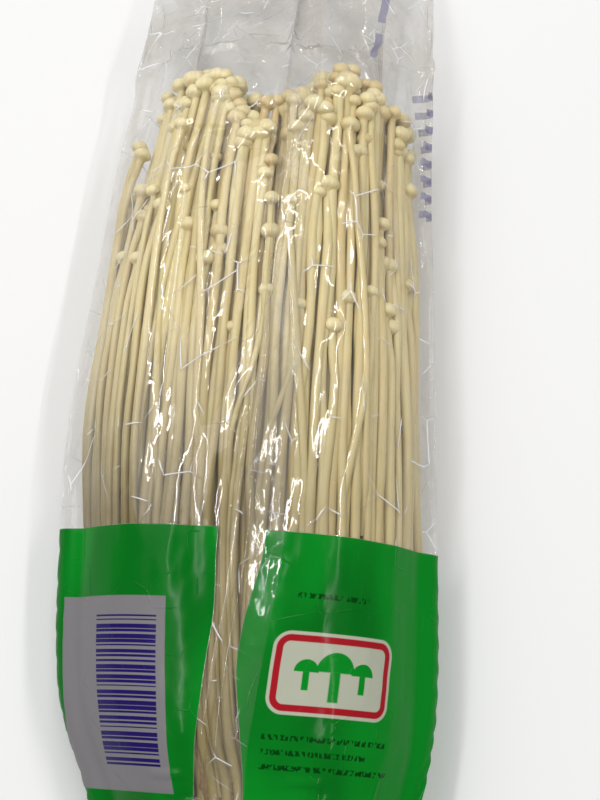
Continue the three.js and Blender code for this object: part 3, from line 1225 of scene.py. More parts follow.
@dataclass(frozen=True)
class Mushroom:
    """One mushroom's course and measures, in millimetres.

    The second number of each draw only tells this mushroom's features apart.
    """

    stations: tuple[Station, ...]  # from root to tip
    radius: float
    width: float
    tilt: tuple[float, float]  # how far the cap leans along x and z
    seed: int
    habit: StemHabit = StemHabit()

    def _course(self) -> Callable[[Array], Array]:
        """The stem's middle as a function of the height along Y.

        Returns:
            The function, which gives one row of x, y and z for each height.
        """
        habit, seed = self.habit, self.seed
        y, x, z = np.array(self.stations).T
        course_x, course_z = Profile(*zip(y, x)), Profile(*zip(y, z))
        waves = [
            (habit.wave_from + habit.wave_spread * draw(seed, 31 + k), 2 * math.pi * draw(seed, 41 + k))
            for k in range(3)
        ]
        past_tip, fade = habit.still_near_tip

        def centre(at: Array) -> Array:
            """The stem's middle at heights along Y.

            Args:
                at: The heights.

            Returns:
                One row of x, y and z for each.
            """
            loose = np.clip((at - y[0]) / habit.free_after, 0, 1)
            loose = loose * np.clip((y[-1] + past_tip - at) / fade, habit.least_sway, 1)
            sway = [np.sin(at / length * 2 * math.pi + phase) for length, phase in waves]
            first, second = habit.sway_across
            off_x = (first * sway[0] + second * sway[1]) * loose
            off_z = habit.sway_up * sway[2] * loose
            return np.stack([course_x(at) + off_x, at, course_z(at) + off_z], -1)

        return centre

    def bend(self, unit: Array, cap_depth: float) -> tuple[Array, Array]:
        """Bends the unit mushroom's points along this one's course.

        Args:
            unit: The unit mushroom's points.
            cap_depth: The cap's whole depth, in cap widths.

        Returns:
            The points in millimetres, and how far each is up the cap, from 0 to 1.
        """
        habit = self.habit
        centre = self._course()
        foot, tip = self.stations[0][0], self.stations[-1][0]
        joint = tip - self.width * cap_depth * habit.cap_sunk
        up = np.clip(unit[:, 2], 0, 1)
        in_cap = np.clip(unit[:, 2] - 1, 0, 1)
        capped = unit[:, 2] > 1 - 1e-4
        at = foot + up * (joint - foot)
        axis = centre(at + 0.5) - centre(at - 0.5)
        top_axis = (centre(joint) - centre(joint - 2.0)) / 2.0
        leaning = top_axis + np.array([self.tilt[0], 0.0, self.tilt[1]])
        leaning /= np.linalg.norm(leaning)
        axis = np.where(capped[:, None], leaning, axis / np.linalg.norm(axis, axis=1, keepdims=True))
        across = np.cross(np.array([0.0, 0.0, 1.0]), axis)
        across /= np.linalg.norm(across, axis=1, keepdims=True)
        high = np.cross(axis, across)
        knots = sum(size * np.sin(at / pace + turn * self.seed) for size, pace, turn in habit.knots)
        stem_width = self.radius * (habit.foot_swell - habit.taper * up + knots)
        wide = np.where(capped, self.width, stem_width)[:, None]
        oval = 1 + np.where(capped, habit.cap_oval, habit.stem_oval)[:, None] * (draw(self.seed, 51) - 0.5)
        rise = (in_cap * self.width * cap_depth)[:, None] * leaning
        flat = across * unit[:, :1] * oval + high * unit[:, 1:2] / oval
        return centre(at) + rise + flat * wide, in_cap


@dataclass
class MushroomLayer:
    """Mushrooms of one layer of the bunch, copied from one shape and joined into one piece."""

    name: str
    shape: MushroomShape
    mushrooms: list[Mushroom]
    brown_and_depth_shade: tuple[float, float] = (0.0, 0.8)  # the least and most browned of its mushrooms; deeper layers take higher values as painted shade

    def build(self) -> bpy.types.Object:
        """Copies, bends and joins the mushrooms.

        Returns:
            The piece.
        """
        master = self.shape.build(self.name + "_master")
        unit = points_of(master)
        depth = self.shape.cap_rings[0][0]
        copies = []
        for mushroom in self.mushrooms:
            copy = master.copy()
            copy.data = master.data.copy()
            bpy.context.scene.collection.objects.link(copy)
            points, in_cap = mushroom.bend(unit, depth)
            place_points(copy, points)
            write_attribute(copy, "cap_share", in_cap)
            # The browning is a random tone within the layer's range, and the range rises with depth as
            # painted shade.
            least, most = self.brown_and_depth_shade
            tone_and_depth_shade = least + (most - least) * draw(mushroom.seed, 61)
            write_attribute(copy, "tint_and_depth_shade", np.full(len(unit), tone_and_depth_shade))
            copies.append(copy)
        bpy.data.objects.remove(master)
        log.info("%s: %d mushrooms", self.name, len(copies))
        piece = join(copies, self.name)
        smooth(piece, 55)
        return piece


@dataclass(frozen=True)
class HiddenLayer:
    """The measures of one layer of mushrooms behind the outer one, in millimetres."""

    first: int  # its first mushroom's seed
    count: int
    depth: float  # how far behind the outline the stems run
    fall: float  # the most that a tip stays below the caps' line
    stray: float  # how far a stem may stray round the outline, as a share of it
    offset: float  # where the first stands, in steps from one mushroom to the next


@dataclass(frozen=True)
class Bunch:
    """Places every mushroom of the bunch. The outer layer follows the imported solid's rules.

    Places round the bunch are shares of its outline, from the left side over the top. The second number
    of each draw only tells a mushroom's features apart.
    """

    form: PackForm
    stem_radius: float = 1.2
    cap_width: float = 4.4
    outer_count: int = 54
    stagger: float = 3.6
    short_share: float = 0.2
    short_by: tuple[float, float] = (8.0, 54.0)
    crown_seed: int = 1000
    crown_rows: int = 14
    crown_row_seeds: int = 30  # how many seeds apart two rows are
    crown_pitch: float = 3.75
    crown_row_pitch: float = 0.82  # as a share of the pitch across
    crown_floor: float = 3.2
    crown_inset: float = 4.6
    jitter: float = 1.6
    lean: float = 2.4
    crossing_seed: int = 400
    crossing_count: int = 8
    crossing_sector: tuple[float, float] = (0.09, 0.36)  # where it starts and how far it goes
    crossing_slant: float = 0.035
    loose_seed: int = 500
    loose_count: int = 11
    loose_sector: tuple[float, float] = (-0.03, 0.15)

    def _stations(self, course: Sequence[tuple[float, float, float]]) -> tuple[Station, ...]:
        """Turns places along, behind and round the outline into a course's stations."""
        return tuple((y, *self.form.round_at(y, inset, share)) for y, inset, share in course)

    def outer(self) -> Iterator[Mushroom]:
        """The layer against the film.

        Yields:
            Its mushrooms.
        """
        form = self.form
        inset = self.stem_radius * 1.25 + 0.2
        for i in range(self.outer_count):
            share = (i + 0.5) / self.outer_count
            size = 0.92 + 0.16 * draw(i, 1)
            width = self.cap_width * (0.82 + 0.36 * draw(i, 2))
            x, z = form.round_at(form.cap_line, inset, share)
            least, most = self.short_by
            short = least + (most - least) * draw(i, 4) if draw(i, 3) < self.short_share else 0.0
            tip = form.cap_top(x, z) - self.stagger * (i % 2) - 4 * draw(i, 5) ** 2 - short
            heights = (
                (form.block_top - 15, inset + 0.3),
                (form.block_top + 3, inset),
                (-30.0, inset),
                (min(22.0, tip - 14), inset),
                (tip - width * 0.8, width / 2 + 0.5),
                (tip, width / 2 + 0.5),
            )
            stations = self._stations(
                [
                    (y, drawn_in, share + self._wander(i, j, y, share))
                    for j, (y, drawn_in) in enumerate(heights)
                ]
            )
            yield Mushroom(stations, self.stem_radius * size * 0.88, width, self._tilt(i, share), i)

    @staticmethod
    def _wander(i: int, j: int, y: float, share: float) -> float:
        """How far a station strays round the outline, as a share of it."""
        return 0.005 * math.sin(y / 30 + 19 * share) + 0.0012 * (draw(i, 6 + j) - 0.5)

    @staticmethod
    def _tilt(i: int, share: float, most: float = 0.55) -> tuple[float, float]:
        """How far a cap leans outwards and sideways, for a mushroom at a share of the way round.

        Args:
            i: The mushroom's seed.
            share: Its share of the way round.
            most: The most that it leans.

        Returns:
            The lean along x and along z.
        """
        out = most * draw(i, 21) ** 1.5
        turn = (share % 1.0) * 2 * math.pi
        return (-math.cos(turn) * out + 0.3 * (draw(i, 22) - 0.5), math.sin(turn) * out)

    def behind(self, layer: HiddenLayer) -> Iterator[Mushroom]:
        """A layer of mushrooms behind the outer one.

        Args:
            layer: The layer's measures.

        Yields:
            Its mushrooms.
        """
        form, depth = self.form, layer.depth
        for k in range(layer.count):
            i = layer.first + k
            share = (k + layer.offset + 0.4 * (draw(i, 1) - 0.5)) / layer.count
            width = self.cap_width * (0.72 + 0.42 * draw(i, 2))
            x, z = form.round_at(form.cap_line, depth, share)
            least, most = self.short_by
            at_side = abs(math.cos(2 * math.pi * share)) ** 3
            chance = self.short_share * (1.5 + 1.3 * at_side)
            short = least + (most - least) * draw(i, 4) ** 1.7 if draw(i, 3) < chance else 0.0
            tip = form.cap_top(x, z) + 1.5 - layer.fall * draw(i, 5) ** 1.6 - short
            cap_in = max(width / 2 + 0.6, depth - 0.4)
            heights = (
                (form.block_top - 12, depth + 0.8),
                (form.block_top + 6, depth),
                (-40.0, depth + 0.5 * (draw(i, 12) - 0.5)),
                (0.0, depth + 0.7 * (draw(i, 13) - 0.5)),
                (min(30.0, tip - 12), depth),
                (tip, cap_in),
            )
            stations = self._stations(
                [
                    (y, drawn_in, share + layer.stray * (draw(i, 6 + j) - 0.5))
                    for j, (y, drawn_in) in enumerate(heights)
                ]
            )
            yield Mushroom(stations, 0.94 + 0.22 * draw(i, 14), width, self._tilt(i, share, 0.4), i)

    def crossing(self) -> Iterator[Mushroom]:
        """Thin mushrooms that lie slantwise over the others on the upper face.

        Yields:
            The mushrooms.
        """
        start, reach = self.crossing_sector
        for k in range(self.crossing_count):
            i = self.crossing_seed + k
            share = start + reach * (k + 0.5 * draw(i, 1)) / self.crossing_count
            slant = self.crossing_slant * (1 if draw(i, 2) > 0.5 else -1) * (0.5 + draw(i, 3))
            tip = 62 - 62 * draw(i, 4)
            foot = max(-40.0, tip - 75 - 30 * draw(i, 5))
            width = 3.1 + 1.1 * draw(i, 6)
            stations = self._stations(
                [
                    (foot, 2.6, share),
                    (foot + 16, 0.9, share + slant * 0.15),
                    (tip - 14, 0.7, share + slant * 0.85),
                    (tip, width / 2 + 0.3, share + slant),
                ]
            )
            yield Mushroom(stations, 0.72 + 0.14 * draw(i, 7), width, self._tilt(i, share, 0.3), i)

    def loose(self) -> Iterator[Mushroom]:
        """Short mushrooms that stand off the bunch's left side, in the room that the film leaves there.

        Yields:
            The mushrooms.
        """
        start, reach = self.loose_sector
        for k in range(self.loose_count):
            i = self.loose_seed + k
            share = start + reach * (k + 0.6 * draw(i, 1)) / self.loose_count
            tip = 4 + 48 * draw(i, 2)
            width = 3.4 + 1.2 * draw(i, 3)
            heights = (
                (-62.0, 2.4),
                (-40.0, 0.6),
                (min(-12.0, tip - 30), -0.8),
                (tip - 12, -1.5),
                (tip, width / 2 - 2.6),
            )
            stations = self._stations(
                [
                    (y, drawn_in, share + 0.004 * (draw(i, 6 + j) - 0.5))
                    for j, (y, drawn_in) in enumerate(heights)
                ]
            )
            yield Mushroom(stations, 0.84 + 0.16 * draw(i, 4), width, self._tilt(i, share, 0.5), i)

    def crown(self) -> Iterator[Mushroom]:
        """The short inner mushrooms whose caps close the top.

        Yields:
            The mushrooms.
        """
        form, pitch, inset = self.form, self.crown_pitch, self.crown_inset
        y = form.cap_line - 17
        half = form.bunch_half(y, inset)
        columns = math.ceil(half / pitch)
        for row in range(self.crown_rows):
            for column in range(-columns, columns + 1):
                i = self.crown_seed + row * self.crown_row_seeds + column
                x = (column + (row % 2) / 2) * pitch + self.jitter * (draw(i, 1) - 0.5)
                level = self.crown_floor + row * pitch * self.crown_row_pitch
                z = level + self.jitter * (draw(i, 2) - 0.5)
                within = form.bunch_bottom(x, y, inset) < z < form.bunch_top(x, y, inset)
                if abs(x) >= half or not within:
                    continue
                width = self.cap_width * (0.9 + 0.4 * draw(i, 3))
                tip = form.cap_top(x, z) - 9 * draw(i, 4) ** 1.5
                lean_x, lean_z = (self.lean * (draw(i, channel) - 0.5) for channel in (5, 6))
                stations = tuple(
                    (at, x + lean_x * part, z + lean_z * part)
                    for at, part in ((form.core_end - 12, 0.0), (tip - 10, 0.5), (tip, 1.0))
                )
                tilt = (0.5 * (draw(i, 21) - 0.5), 0.5 * (draw(i, 22) - 0.3))
                yield Mushroom(stations, 1.0, width, tilt, i)


@dataclass(frozen=True)
class RootBlock:
    """The block that the stems grow from, with the fused inner stems above it, as one closed form."""

    form: PackForm
    segments: int = 144
    rings: int = 72
    flutes: int = 34
    along: Profile = Profile(
        (0.0, -104.0), (0.10, -103.7), (0.14, -102.6), (0.18, -100.0), (0.34, -84.0), (0.42, -72.0),
        (0.60, -20.0), (0.78, 24.0), (0.92, 40.0), (1.0, 42.0),
    )
    spread: Profile = Profile(
        (0.0, 0.0), (0.10, 0.90), (0.14, 0.965), (0.18, 1.0), (0.86, 1.0), (0.94, 0.8), (1.0, 0.0),
    )
    depth: Profile = Profile((-104, 1.9), (-84, 2.0), (-76, 4.4), (36, 4.6), (42, 6.0))
    groove: float = 0.9  # how deep the grooves between its fused stems are
    lump: float = 0.35  # how uneven they are
    middle: float = 4.0  # how far its middle lies above the pack's edges
    cut_end: float = 0.12  # the share of the way along that belongs to the cut face
    cut_roughness: float = 0.8

    def build(self) -> bpy.types.Object:
        """Shapes a globe into the block: its poles are the cut end and the inner mass's top.

        Returns:
            The piece.
        """
        start_fresh()
        bpy.ops.mesh.primitive_uv_sphere_add(segments=self.segments, ring_count=self.rings, radius=1.0)
        piece = bpy.context.object
        piece.name = piece.data.name = "root_and_core"
        unit = points_of(piece)
        station = np.arccos(np.clip(-unit[:, 2], -1, 1)) / math.pi
        turn = np.arctan2(unit[:, 1], unit[:, 0])
        y = self.along(station)
        lumps = 0.5 + 0.5 * np.cos(turn * self.flutes + 0.6 * np.sin(y / 14 + 3 * turn))
        lumps += self.lump * np.sin(turn * 11 + y / 5) * np.sin(y / 3.7 - turn * 7)
        inset = self.depth(y) + self.groove * lumps
        form = self.form
        x = form.bunch_centre(y) + form.bunch_half(y, inset) * np.cos(turn)
        face = np.where(unit[:, 1] >= 0, form.bunch_top(x, y, inset), form.bunch_bottom(x, y, inset))
        middle = form.edge_height(y) + self.middle
        scale = self.spread(station)
        x = form.bunch_centre(y) + (x - form.bunch_centre(y)) * scale
        torn = self.cut_roughness * np.sin(x / 2.3) * np.sin(face / 1.9 + x / 4)
        y = y + np.where(station < self.cut_end, torn, 0.0)
        place_points(piece, np.stack([x, y, middle + (face - middle) * scale], 1))
        pick(piece)
        bpy.ops.object.mode_set(mode="EDIT")
        bpy.ops.mesh.select_all(action="SELECT")
        bpy.ops.mesh.normals_make_consistent(inside=False)
        bpy.ops.object.mode_set(mode="OBJECT")
        smooth(piece, 70)
        return piece


# ---- The film ----


@dataclass(frozen=True)
class Bond:
    """A kind of tie between a point of the film and a neighbour some rows and columns away."""

    rows: int
    columns: int
    stiffness: float
    pushes_only: bool = False  # as film does that resists a sharp fold


GridPoints = tuple[Array, ...]  # rows and columns of some of a grid's points
Tie = tuple[GridPoints, GridPoints, Array, Bond]
BONDS = (
    Bond(0, 1, 1.0), Bond(1, 0, 1.0), Bond(1, 1, 0.8), Bond(1, -1, 0.8), Bond(0, 2, 0.14, True),
    Bond(2, 0, 0.14, True),
)


@dataclass
class FilmSettler:
    """Lets film that is a little too long for its form settle into wrinkles over what it wraps.

    The film is a grid of points. Distances between neighbours are kept near their lengths in the flat
    film, and no point goes further in or out than it may.
    """

    base: Array
    normal: Array
    inward: Array
    outward: Array
    spare: Array  # share by which the film is too long, across and along
    held: Array
    seed: int = 11
    pull: float = 0.035  # how far the film is drawn inwards each round
    roughness: float = 0.09  # how uneven the film starts, for each grid step
    slip: float = 1.6  # the furthest that a point may slide sideways
    push_share: float = 0.985  # how short a pushing bond may become

    def settle(self, levels: Sequence[tuple[int, int, float]]) -> Array:
        """Settles the film from coarse to fine.

        Args:
            levels: For each level its stride, its rounds and the share of the spare length it takes up.

        Returns:
            The film's points.
        """
        chance = np.random.default_rng(self.seed)
        moved: Optional[Array] = None
        for stride, rounds, share in levels:
            cut = (slice(None, None, stride), slice(None, None, stride))
            base, normal = self.base[cut], self.normal[cut]
            if moved is None:
                moved = np.zeros_like(base)
            while moved.shape[0] < base.shape[0]:
                moved = finer(moved)
            rough = chance.normal(size=base.shape[:2]) * self.roughness * stride
            points = base + moved + normal * rough[..., None] * ~self.held[cut][..., None]
            moved = self._relax(points, cut, rounds, share) - base
        return self.base + moved

    def _relax(self, points: Array, cut: tuple[slice, slice], rounds: int, share: float) -> Array:
        """Runs one level's rounds.

        Args:
            points: Where the points start.
            cut: Which of the grid's points belong to the level.
            rounds: How many rounds.
            share: The share of the spare length that the level takes up.

        Returns:
            Where the points end.
        """
        base, normal, held = self.base[cut], self.normal[cut], self.held[cut]
        inward, outward = self.inward[cut], self.outward[cut]
        spare = self.spare[cut]
        ties = list(self._ties(base, spare, share))
        for _ in range(rounds):
            points -= normal * self.pull * ~held[..., None]
            for first, second, length, bond in ties:
                gap = points[second] - points[first]
                size = np.linalg.norm(gap, axis=-1, keepdims=True)
                change = (size - length) / np.maximum(size, 1e-6) * 0.5 * bond.stiffness
                if bond.pushes_only:
                    change = np.minimum(change, 0)
                points[first] += gap * change
                points[second] -= gap * change
            off = points - base
            depth = (off * normal).sum(-1)
            side = off - depth[..., None] * normal
            far = np.linalg.norm(side, axis=-1, keepdims=True)
            side *= np.minimum(1, self.slip / np.maximum(far, 1e-6))
            depth = np.clip(depth, -inward, outward)
            points = base + side + depth[..., None] * normal
            points[held] = base[held]
        return points

    def _ties(self, base: Array, spare: Array, share: float) -> Iterator[Tie]:
        """Every bond of one level, in groups that share no point.

        Args:
            base: The film's form.
            spare: The share by which it is too long, across and along.
            share: How much of that is used.

        Yields:
            Both points' indices, the length and the bond.
        """
        for bond in BONDS:
            steps = np.array([bond.columns, bond.rows]) ** 2
            for here, there in self._pairs(base.shape[:2], bond):
                if here[0].size == 0 or here[1].size == 0:
                    continue
                size = np.linalg.norm(base[there] - base[here], axis=-1, keepdims=True)
                extra = (spare[here] * steps).sum(-1, keepdims=True) / steps.sum()
                length = size * (1 + share * extra) * (self.push_share if bond.pushes_only else 1.0)
                yield here, there, length, bond

    @staticmethod
    def _pairs(shape: tuple[int, int], bond: Bond) -> Iterator[tuple[GridPoints, GridPoints]]:
        """The pairs of points that a bond ties, in groups that share no point.

        Args:
            shape: The grid's rows and columns.
            bond: The bond.

        Yields:
            The first points' indices and the second points'.
        """
        rows, columns = shape
        reach = max(bond.rows, abs(bond.columns))
        for phase in range(2 * reach):
            if bond.rows:
                row = np.arange(phase, rows - bond.rows, 2 * reach)
                column = np.arange(max(0, -bond.columns), columns - max(0, bond.columns))
            else:
                row = np.arange(rows)
                column = np.arange(phase, columns - bond.columns, 2 * reach)
            yield np.ix_(row, column), np.ix_(row + bond.rows, column + bond.columns)


class Ply(Enum):
    """The fin seam's two plies, each with its level over the film and the phase of its waviness."""

    LOWER = (1, 0.0)
    UPPER = (2, 1.7)


@dataclass(frozen=True)
class Pouch:
    """The film as one web: the seam's lower ply, round the bunch, and the seam's upper ply."""

    form: PackForm
    columns: int = 200  # steps round the web, without the seam's plies
    body_rows: int = 244
    seal_rows: int = 16  # steps along each end seal
    fin_columns: int = 10
    ply_gap: float = 0.25
    rib_pitch: float = 2.0
    rib_height: float = 0.2
    tooth_pitch: float = 3.0
    tooth_height: float = 0.5
    tooth_zone: float = 0.6  # how much of an end the teeth are cut into
    ply_wave: float = 0.22  # how far a ply's free edge curls
    ply_columns: int = 14  # the columns by the seam whose mean step the plies are laid by
    clearance: float = 0.3  # left between the film and what it touches
    clear_from: float = 5.0  # how far outside the film the search for mushrooms starts
    most_in: float = 3.4  # the furthest that a wrinkle goes in
    most_out: float = 2.2  # and out
    pressed_less: float = 3.34  # how much less it goes in where the floor presses the film
    halfway_gap: float = 0.12  # left between a wrinkle and the middle of the pack
    ray_spare: float = 1.5  # how much further than a wrinkle the mushrooms are looked for
    span_reach: int = 2  # how many grid steps the film spans between crests
    span_sag: float = 0.1  # how far it sags there
    held_margin: float = 1.5  # how far from a seal the film starts to move
    freed_over: float = 8.0  # over how far it comes to move freely
    facing_down: float = -0.2  # the z of its outward direction under which film faces the floor
    floor_gap: float = 0.05  # left there between an outward wrinkle and the floor
    floor_zone: float = 1.5  # the height under which the film is pressed to the floor
    floor_depth: float = 1.1  # over how much of that it comes to be pressed in full
    floor_level: float = 0.06  # the lowest that the film lies
    floor_drop: float = 0.24
    spare_seed: int = 5
    spare_patches: tuple[int, int] = (12, 9)  # the patches of more and less film, along and round it
    least_spare: float = 0.006
    patch_spare: tuple[float, float] = (0.050, 0.040)  # the most that patches add, across and along
    empty_spare: tuple[float, float] = (0.07, 0.04)  # what is added past the bunch's ends
    printed_less: float = 0.75  # how much of it the stiffer printed film lacks
    levels: tuple[tuple[int, int, float], ...] = ((4, 120, 0.35), (2, 160, 0.7), (1, 150, 1.0))
    quick_levels: tuple[tuple[int, int, float], ...] = ((4, 60, 1.0),)

    def _rows(self) -> Array:
        """The rows' places along Y.

        Returns:
            The places.
        """
        form = self.form
        body = np.linspace(-form.seal_from, form.seal_from, self.body_rows + 1)
        seal = np.linspace(form.seal_from, form.pouch_end, self.seal_rows + 1)[1:]
        return np.concatenate([-seal[::-1], body, seal])

    def _web(self, y: float) -> Array:
        """The web round one section, from the seam over the right and back, evenly spaced.

        Args:
            y: The section's place.

        Returns:
            Its points.
        """
        form = self.form
        centre, half = float(form.centre_x(y)), float(form.half_width(y))
        edge, out = float(form.edge_height(y)), form.layer / 2
        seam = centre + float(form.seam_x(y))
        ease = np.sin(np.linspace(0, math.pi / 2, 60))
        right = seam + (centre + half - seam) * ease
        under = centre + half * np.concatenate([ease[::-1], -ease[1:]])
        left = seam + (centre - half - seam) * ease[::-1]
        line = np.concatenate(
            [
                np.stack([right, form.film_top(right, y)], 1),
                [(centre + half + out, edge)],
                np.stack([under, form.film_bottom(under, y)], 1),
                [(centre - half - out, edge)],
                np.stack([left, form.film_top(left, y)], 1),
            ]
        )
        way = np.append(0.0, np.cumsum(np.linalg.norm(np.diff(line, axis=0), axis=1)))
        even = np.linspace(0, way[-1], self.columns + 1)
        x, z = (np.interp(even, way, line[:, axis]) for axis in (0, 1))
        return np.stack([x, np.full(len(even), y), z], 1)

    def _room(self, base: Array, normal: Array, inside: BVHTree) -> Array:
        """How far each point may go inwards: down to the mushrooms, or halfway to the other side.

        Args:
            base: The film's form.
            normal: Its outward directions.
            inside: The mushrooms.

        Returns:
            The distances.
        """
        form = self.form
        x, y = base[..., 0], base[..., 1]
        halfway = (form.film_top(x, y) - form.film_bottom(x, y)) / 2 - self.halfway_gap
        room = np.clip(halfway, 0.0, self.most_in)
        for j, i in np.ndindex(room.shape):
            reach = float(room[j, i]) + self.ray_spare
            _, _, _, distance = inside.ray_cast(Vector(base[j, i]), Vector(-normal[j, i]), reach)
            if distance is not None:
                room[j, i] = max(0.0, min(room[j, i], distance - self.clearance))
        return self._spanned(room)

    def _spanned(self, room: Array) -> Array:
        """The room left to taut film, which spans from one stem's crest to the next.

        Args:
            room: The room down to the mushrooms.

        Returns:
            The distances.
        """
        crest = neighbourhoods(room, self.span_reach).min(axis=(2, 3))
        span = neighbourhoods(crest, self.span_reach).mean(axis=(2, 3))
        return np.minimum(room, span + self.span_sag)

    def _spare(self, base: Array) -> Array:
        """The share by which the film is too long, across and along, at each point.

        Args:
            base: The film's form.

        Returns:
            The two shares.
        """
        chance = np.random.default_rng(self.spare_seed)
        patches = []
        for _ in range(2):
            coarse = chance.random((*self.spare_patches, 1))
            while coarse.shape[0] < base.shape[0] or coarse.shape[1] < base.shape[1]:
                coarse = finer(coarse)
            patches.append(coarse[: base.shape[0], : base.shape[1], 0])
        y = base[..., 1]
        empty = np.clip((y - 60) / 20, 0, 1) + np.clip((-98 - y) / 8, 0, 1)
        printed = np.clip((-36 - y) / 6, 0, 1) * (1 - empty)
        shares = [
            (self.least_spare + most * patch**2 + added * empty) * (1 - self.printed_less * printed)
            for most, patch, added in zip(self.patch_spare, patches, self.empty_spare)
        ]
        return np.stack(shares, -1)

    def _settled(self, rows: Array, inside: BVHTree) -> tuple[Array, Array]:
        """The body of the web after it has settled, and its outward directions.

        Args:
            rows: The rows' places.
            inside: The mushrooms.

        Returns:
            The points and the directions.
        """
        base = np.stack([self._web(y) for y in rows])
        normal = np.cross(np.gradient(base, axis=1), np.gradient(base, axis=0))
        normal /= np.maximum(np.linalg.norm(normal, axis=-1, keepdims=True), 1e-9)
        inner_side = self.form.seal_from - self.held_margin - np.abs(base[..., 1])
        held = inner_side < 0
        held[:, [0, -1]] = True
        faces_floor = normal[..., 2] < self.facing_down
        over_floor = np.where(faces_floor, np.maximum(base[..., 2] - self.floor_gap, 0), np.inf)
        fade = np.clip(inner_side / self.freed_over, 0, 1)
        room = self._room(base, normal, inside) * np.minimum(1, fade * 2)
        pressed = np.clip((self.floor_zone - base[..., 2]) / self.floor_depth, 0, 1)
        room = np.minimum(room, self.most_in - self.pressed_less * pressed)
        outward = np.minimum(self.most_out, over_floor) * fade
        spare = self._spare(base) * fade[..., None]
        settler = FilmSettler(base, normal, room, outward, spare, held)
        settled = settler.settle(self.levels)
        film = self._clear_of(settled, normal, held, inside)
        film[..., 2] = np.maximum(self.floor_level, film[..., 2] - self.floor_drop * pressed)
        return film, normal

    def _clear_of(self, film: Array, normal: Array, held: Array, inside: BVHTree) -> Array:
        """Lifts the film wherever it would touch what it wraps.

        Args:
            film: The settled film.
            normal: Its outward directions.
            held: Points that stay where they are.
            inside: The mushrooms.

        Returns:
            The film, clear of them.
        """
        lift = np.zeros(film.shape[:2])
        reach = self.clear_from + self.clearance
        for j, i in np.ndindex(lift.shape):
            if held[j, i]:
                continue
            above = Vector(film[j, i] + normal[j, i] * self.clear_from)
            _, _, _, distance = inside.ray_cast(above, Vector(-normal[j, i]), reach)
            if distance is not None:
                lift[j, i] = reach - distance
        lift = np.where(film[..., 2] > self.clearance, lift, 0.0)
        crest = neighbourhoods(lift, 1).max(axis=(2, 3))
        lift = np.maximum(lift, neighbourhoods(crest, 1).mean(axis=(2, 3)))
        return film + normal * (lift * ~held)[..., None]

    def _plies(self, film: Array, normal: Array) -> tuple[Array, Array, Array]:
        """The fin seam's two plies, laid over the film to the seam's right.

        Args:
            film: The settled film.
            normal: Its outward directions.

        Returns:
            The film with its left side brought up over the seam, the lower ply and the upper ply.
        """
        pitch = np.linalg.norm(np.diff(film[:, : self.ply_columns], axis=1), axis=-1).mean()
        far = np.linspace(0, self.form.fin_width, self.fin_columns + 1)[1:]
        rows = np.arange(film.shape[0])
        raised = film.copy()
        ramp = np.clip(1 - (np.arange(film.shape[1])[::-1] * pitch) / self.form.fin_ramp, 0, 1)
        raised += normal * (ramp * 2 * self.ply_gap)[None, :, None]
        plies = []
        y = film[:, 0, 1]
        loose = np.clip((self.form.seal_from - np.abs(y)) / 6, 0, 1)
        for level, phase in (ply.value for ply in Ply):
            ply = np.empty((film.shape[0], len(far), 3))
            wave = 1 + np.sin(y / 6.5 + phase + np.sin(y / 17))
            for k, distance in enumerate(far):
                at = distance * (1 + 0.02 * np.sin(y / 9 + phase)) / pitch
                low = np.floor(at).astype(int)
                part = (at - low)[:, None]
                under = film[rows, low] * (1 - part) + film[rows, low + 1] * part
                out = normal[rows, low]
                curl = self.ply_wave * (distance / self.form.fin_width) ** 2 * wave * loose
                ply[:, k] = under + out * (self.ply_gap * level + curl)[:, None]
            plies.append(ply)
        return raised, plies[0], plies[1]

    def _crimp(self, web: Array, side: Array) -> Array:
        """Presses ribs into both end seals and cuts their ends with fine teeth.

        Args:
            web: The whole web's points.
            side: Distances across, which the teeth are spaced by.

        Returns:
            The pressed web.
        """
        y = web[..., 1]
        sealed = np.clip(np.abs(y) - self.form.seal_from, 0, 1)
        web[..., 2] += self.rib_height * np.sin(2 * math.pi * y / self.rib_pitch) * sealed
        outer = np.clip((np.abs(y) - self.form.pouch_end + self.tooth_zone) / self.tooth_zone, 0, 1)
        tooth = np.abs((side / self.tooth_pitch) % 1 - 0.5) * 2 - 1
        web[..., 1] += np.sign(y) * outer * tooth * self.tooth_height
        return web

    def build(self, inside: BVHTree) -> bpy.types.Object:
        """Makes the pouch.

        Args:
            inside: The mushrooms, in millimetres.

        Returns:
            The piece.
        """
        rows = self._rows()
        film, normal = self._settled(rows, inside)
        raised, lower, upper = self._plies(film, normal)
        web = np.concatenate([lower[:, ::-1], raised, upper], axis=1)
        pitch = np.linalg.norm(np.diff(film, axis=1), axis=-1).mean(axis=1)
        body = np.arange(self.columns + 1)
        from_right = body[None, :] * pitch[:, None]
        from_left = from_right - self.columns * pitch[:, None]
        fins = np.zeros((len(rows), self.fin_columns))
        right = np.concatenate([fins, from_right, fins], axis=1)
        left = np.concatenate([fins, from_left, fins], axis=1)
        right_half = np.arange(web.shape[1]) < self.fin_columns + self.columns // 2
        web = self._crimp(web, np.where(right_half, right, left))
        start_fresh()
        bpy.ops.mesh.primitive_grid_add(
            x_subdivisions=web.shape[1] - 1, y_subdivisions=web.shape[0] - 1, size=2.0, calc_uvs=False
        )
        piece = bpy.context.object
        piece.name = piece.data.name = "pouch_sheet"
        unit = points_of(piece)
        column = np.rint((unit[:, 0] + 1) / 2 * (web.shape[1] - 1)).astype(int)
        row = np.rint((unit[:, 1] + 1) / 2 * (web.shape[0] - 1)).astype(int)
        place_points(piece, web[row, column])
        fin = np.ones(self.fin_columns)
        on_fin = np.concatenate([fin, np.zeros(self.columns + 1), fin])
        write_attribute(piece, "fin_share", on_fin[column])
        sheet = (np.arange(web.shape[1]) - self.fin_columns)[None, :] * pitch[:, None]
        self._lay_out(piece, "web", column, row, (right, left), right_half, web[..., 1])
        self._lay_out(piece, "sheet", column, row, (sheet, sheet), right_half, web[..., 1])
        smooth(piece, 75)
        return piece

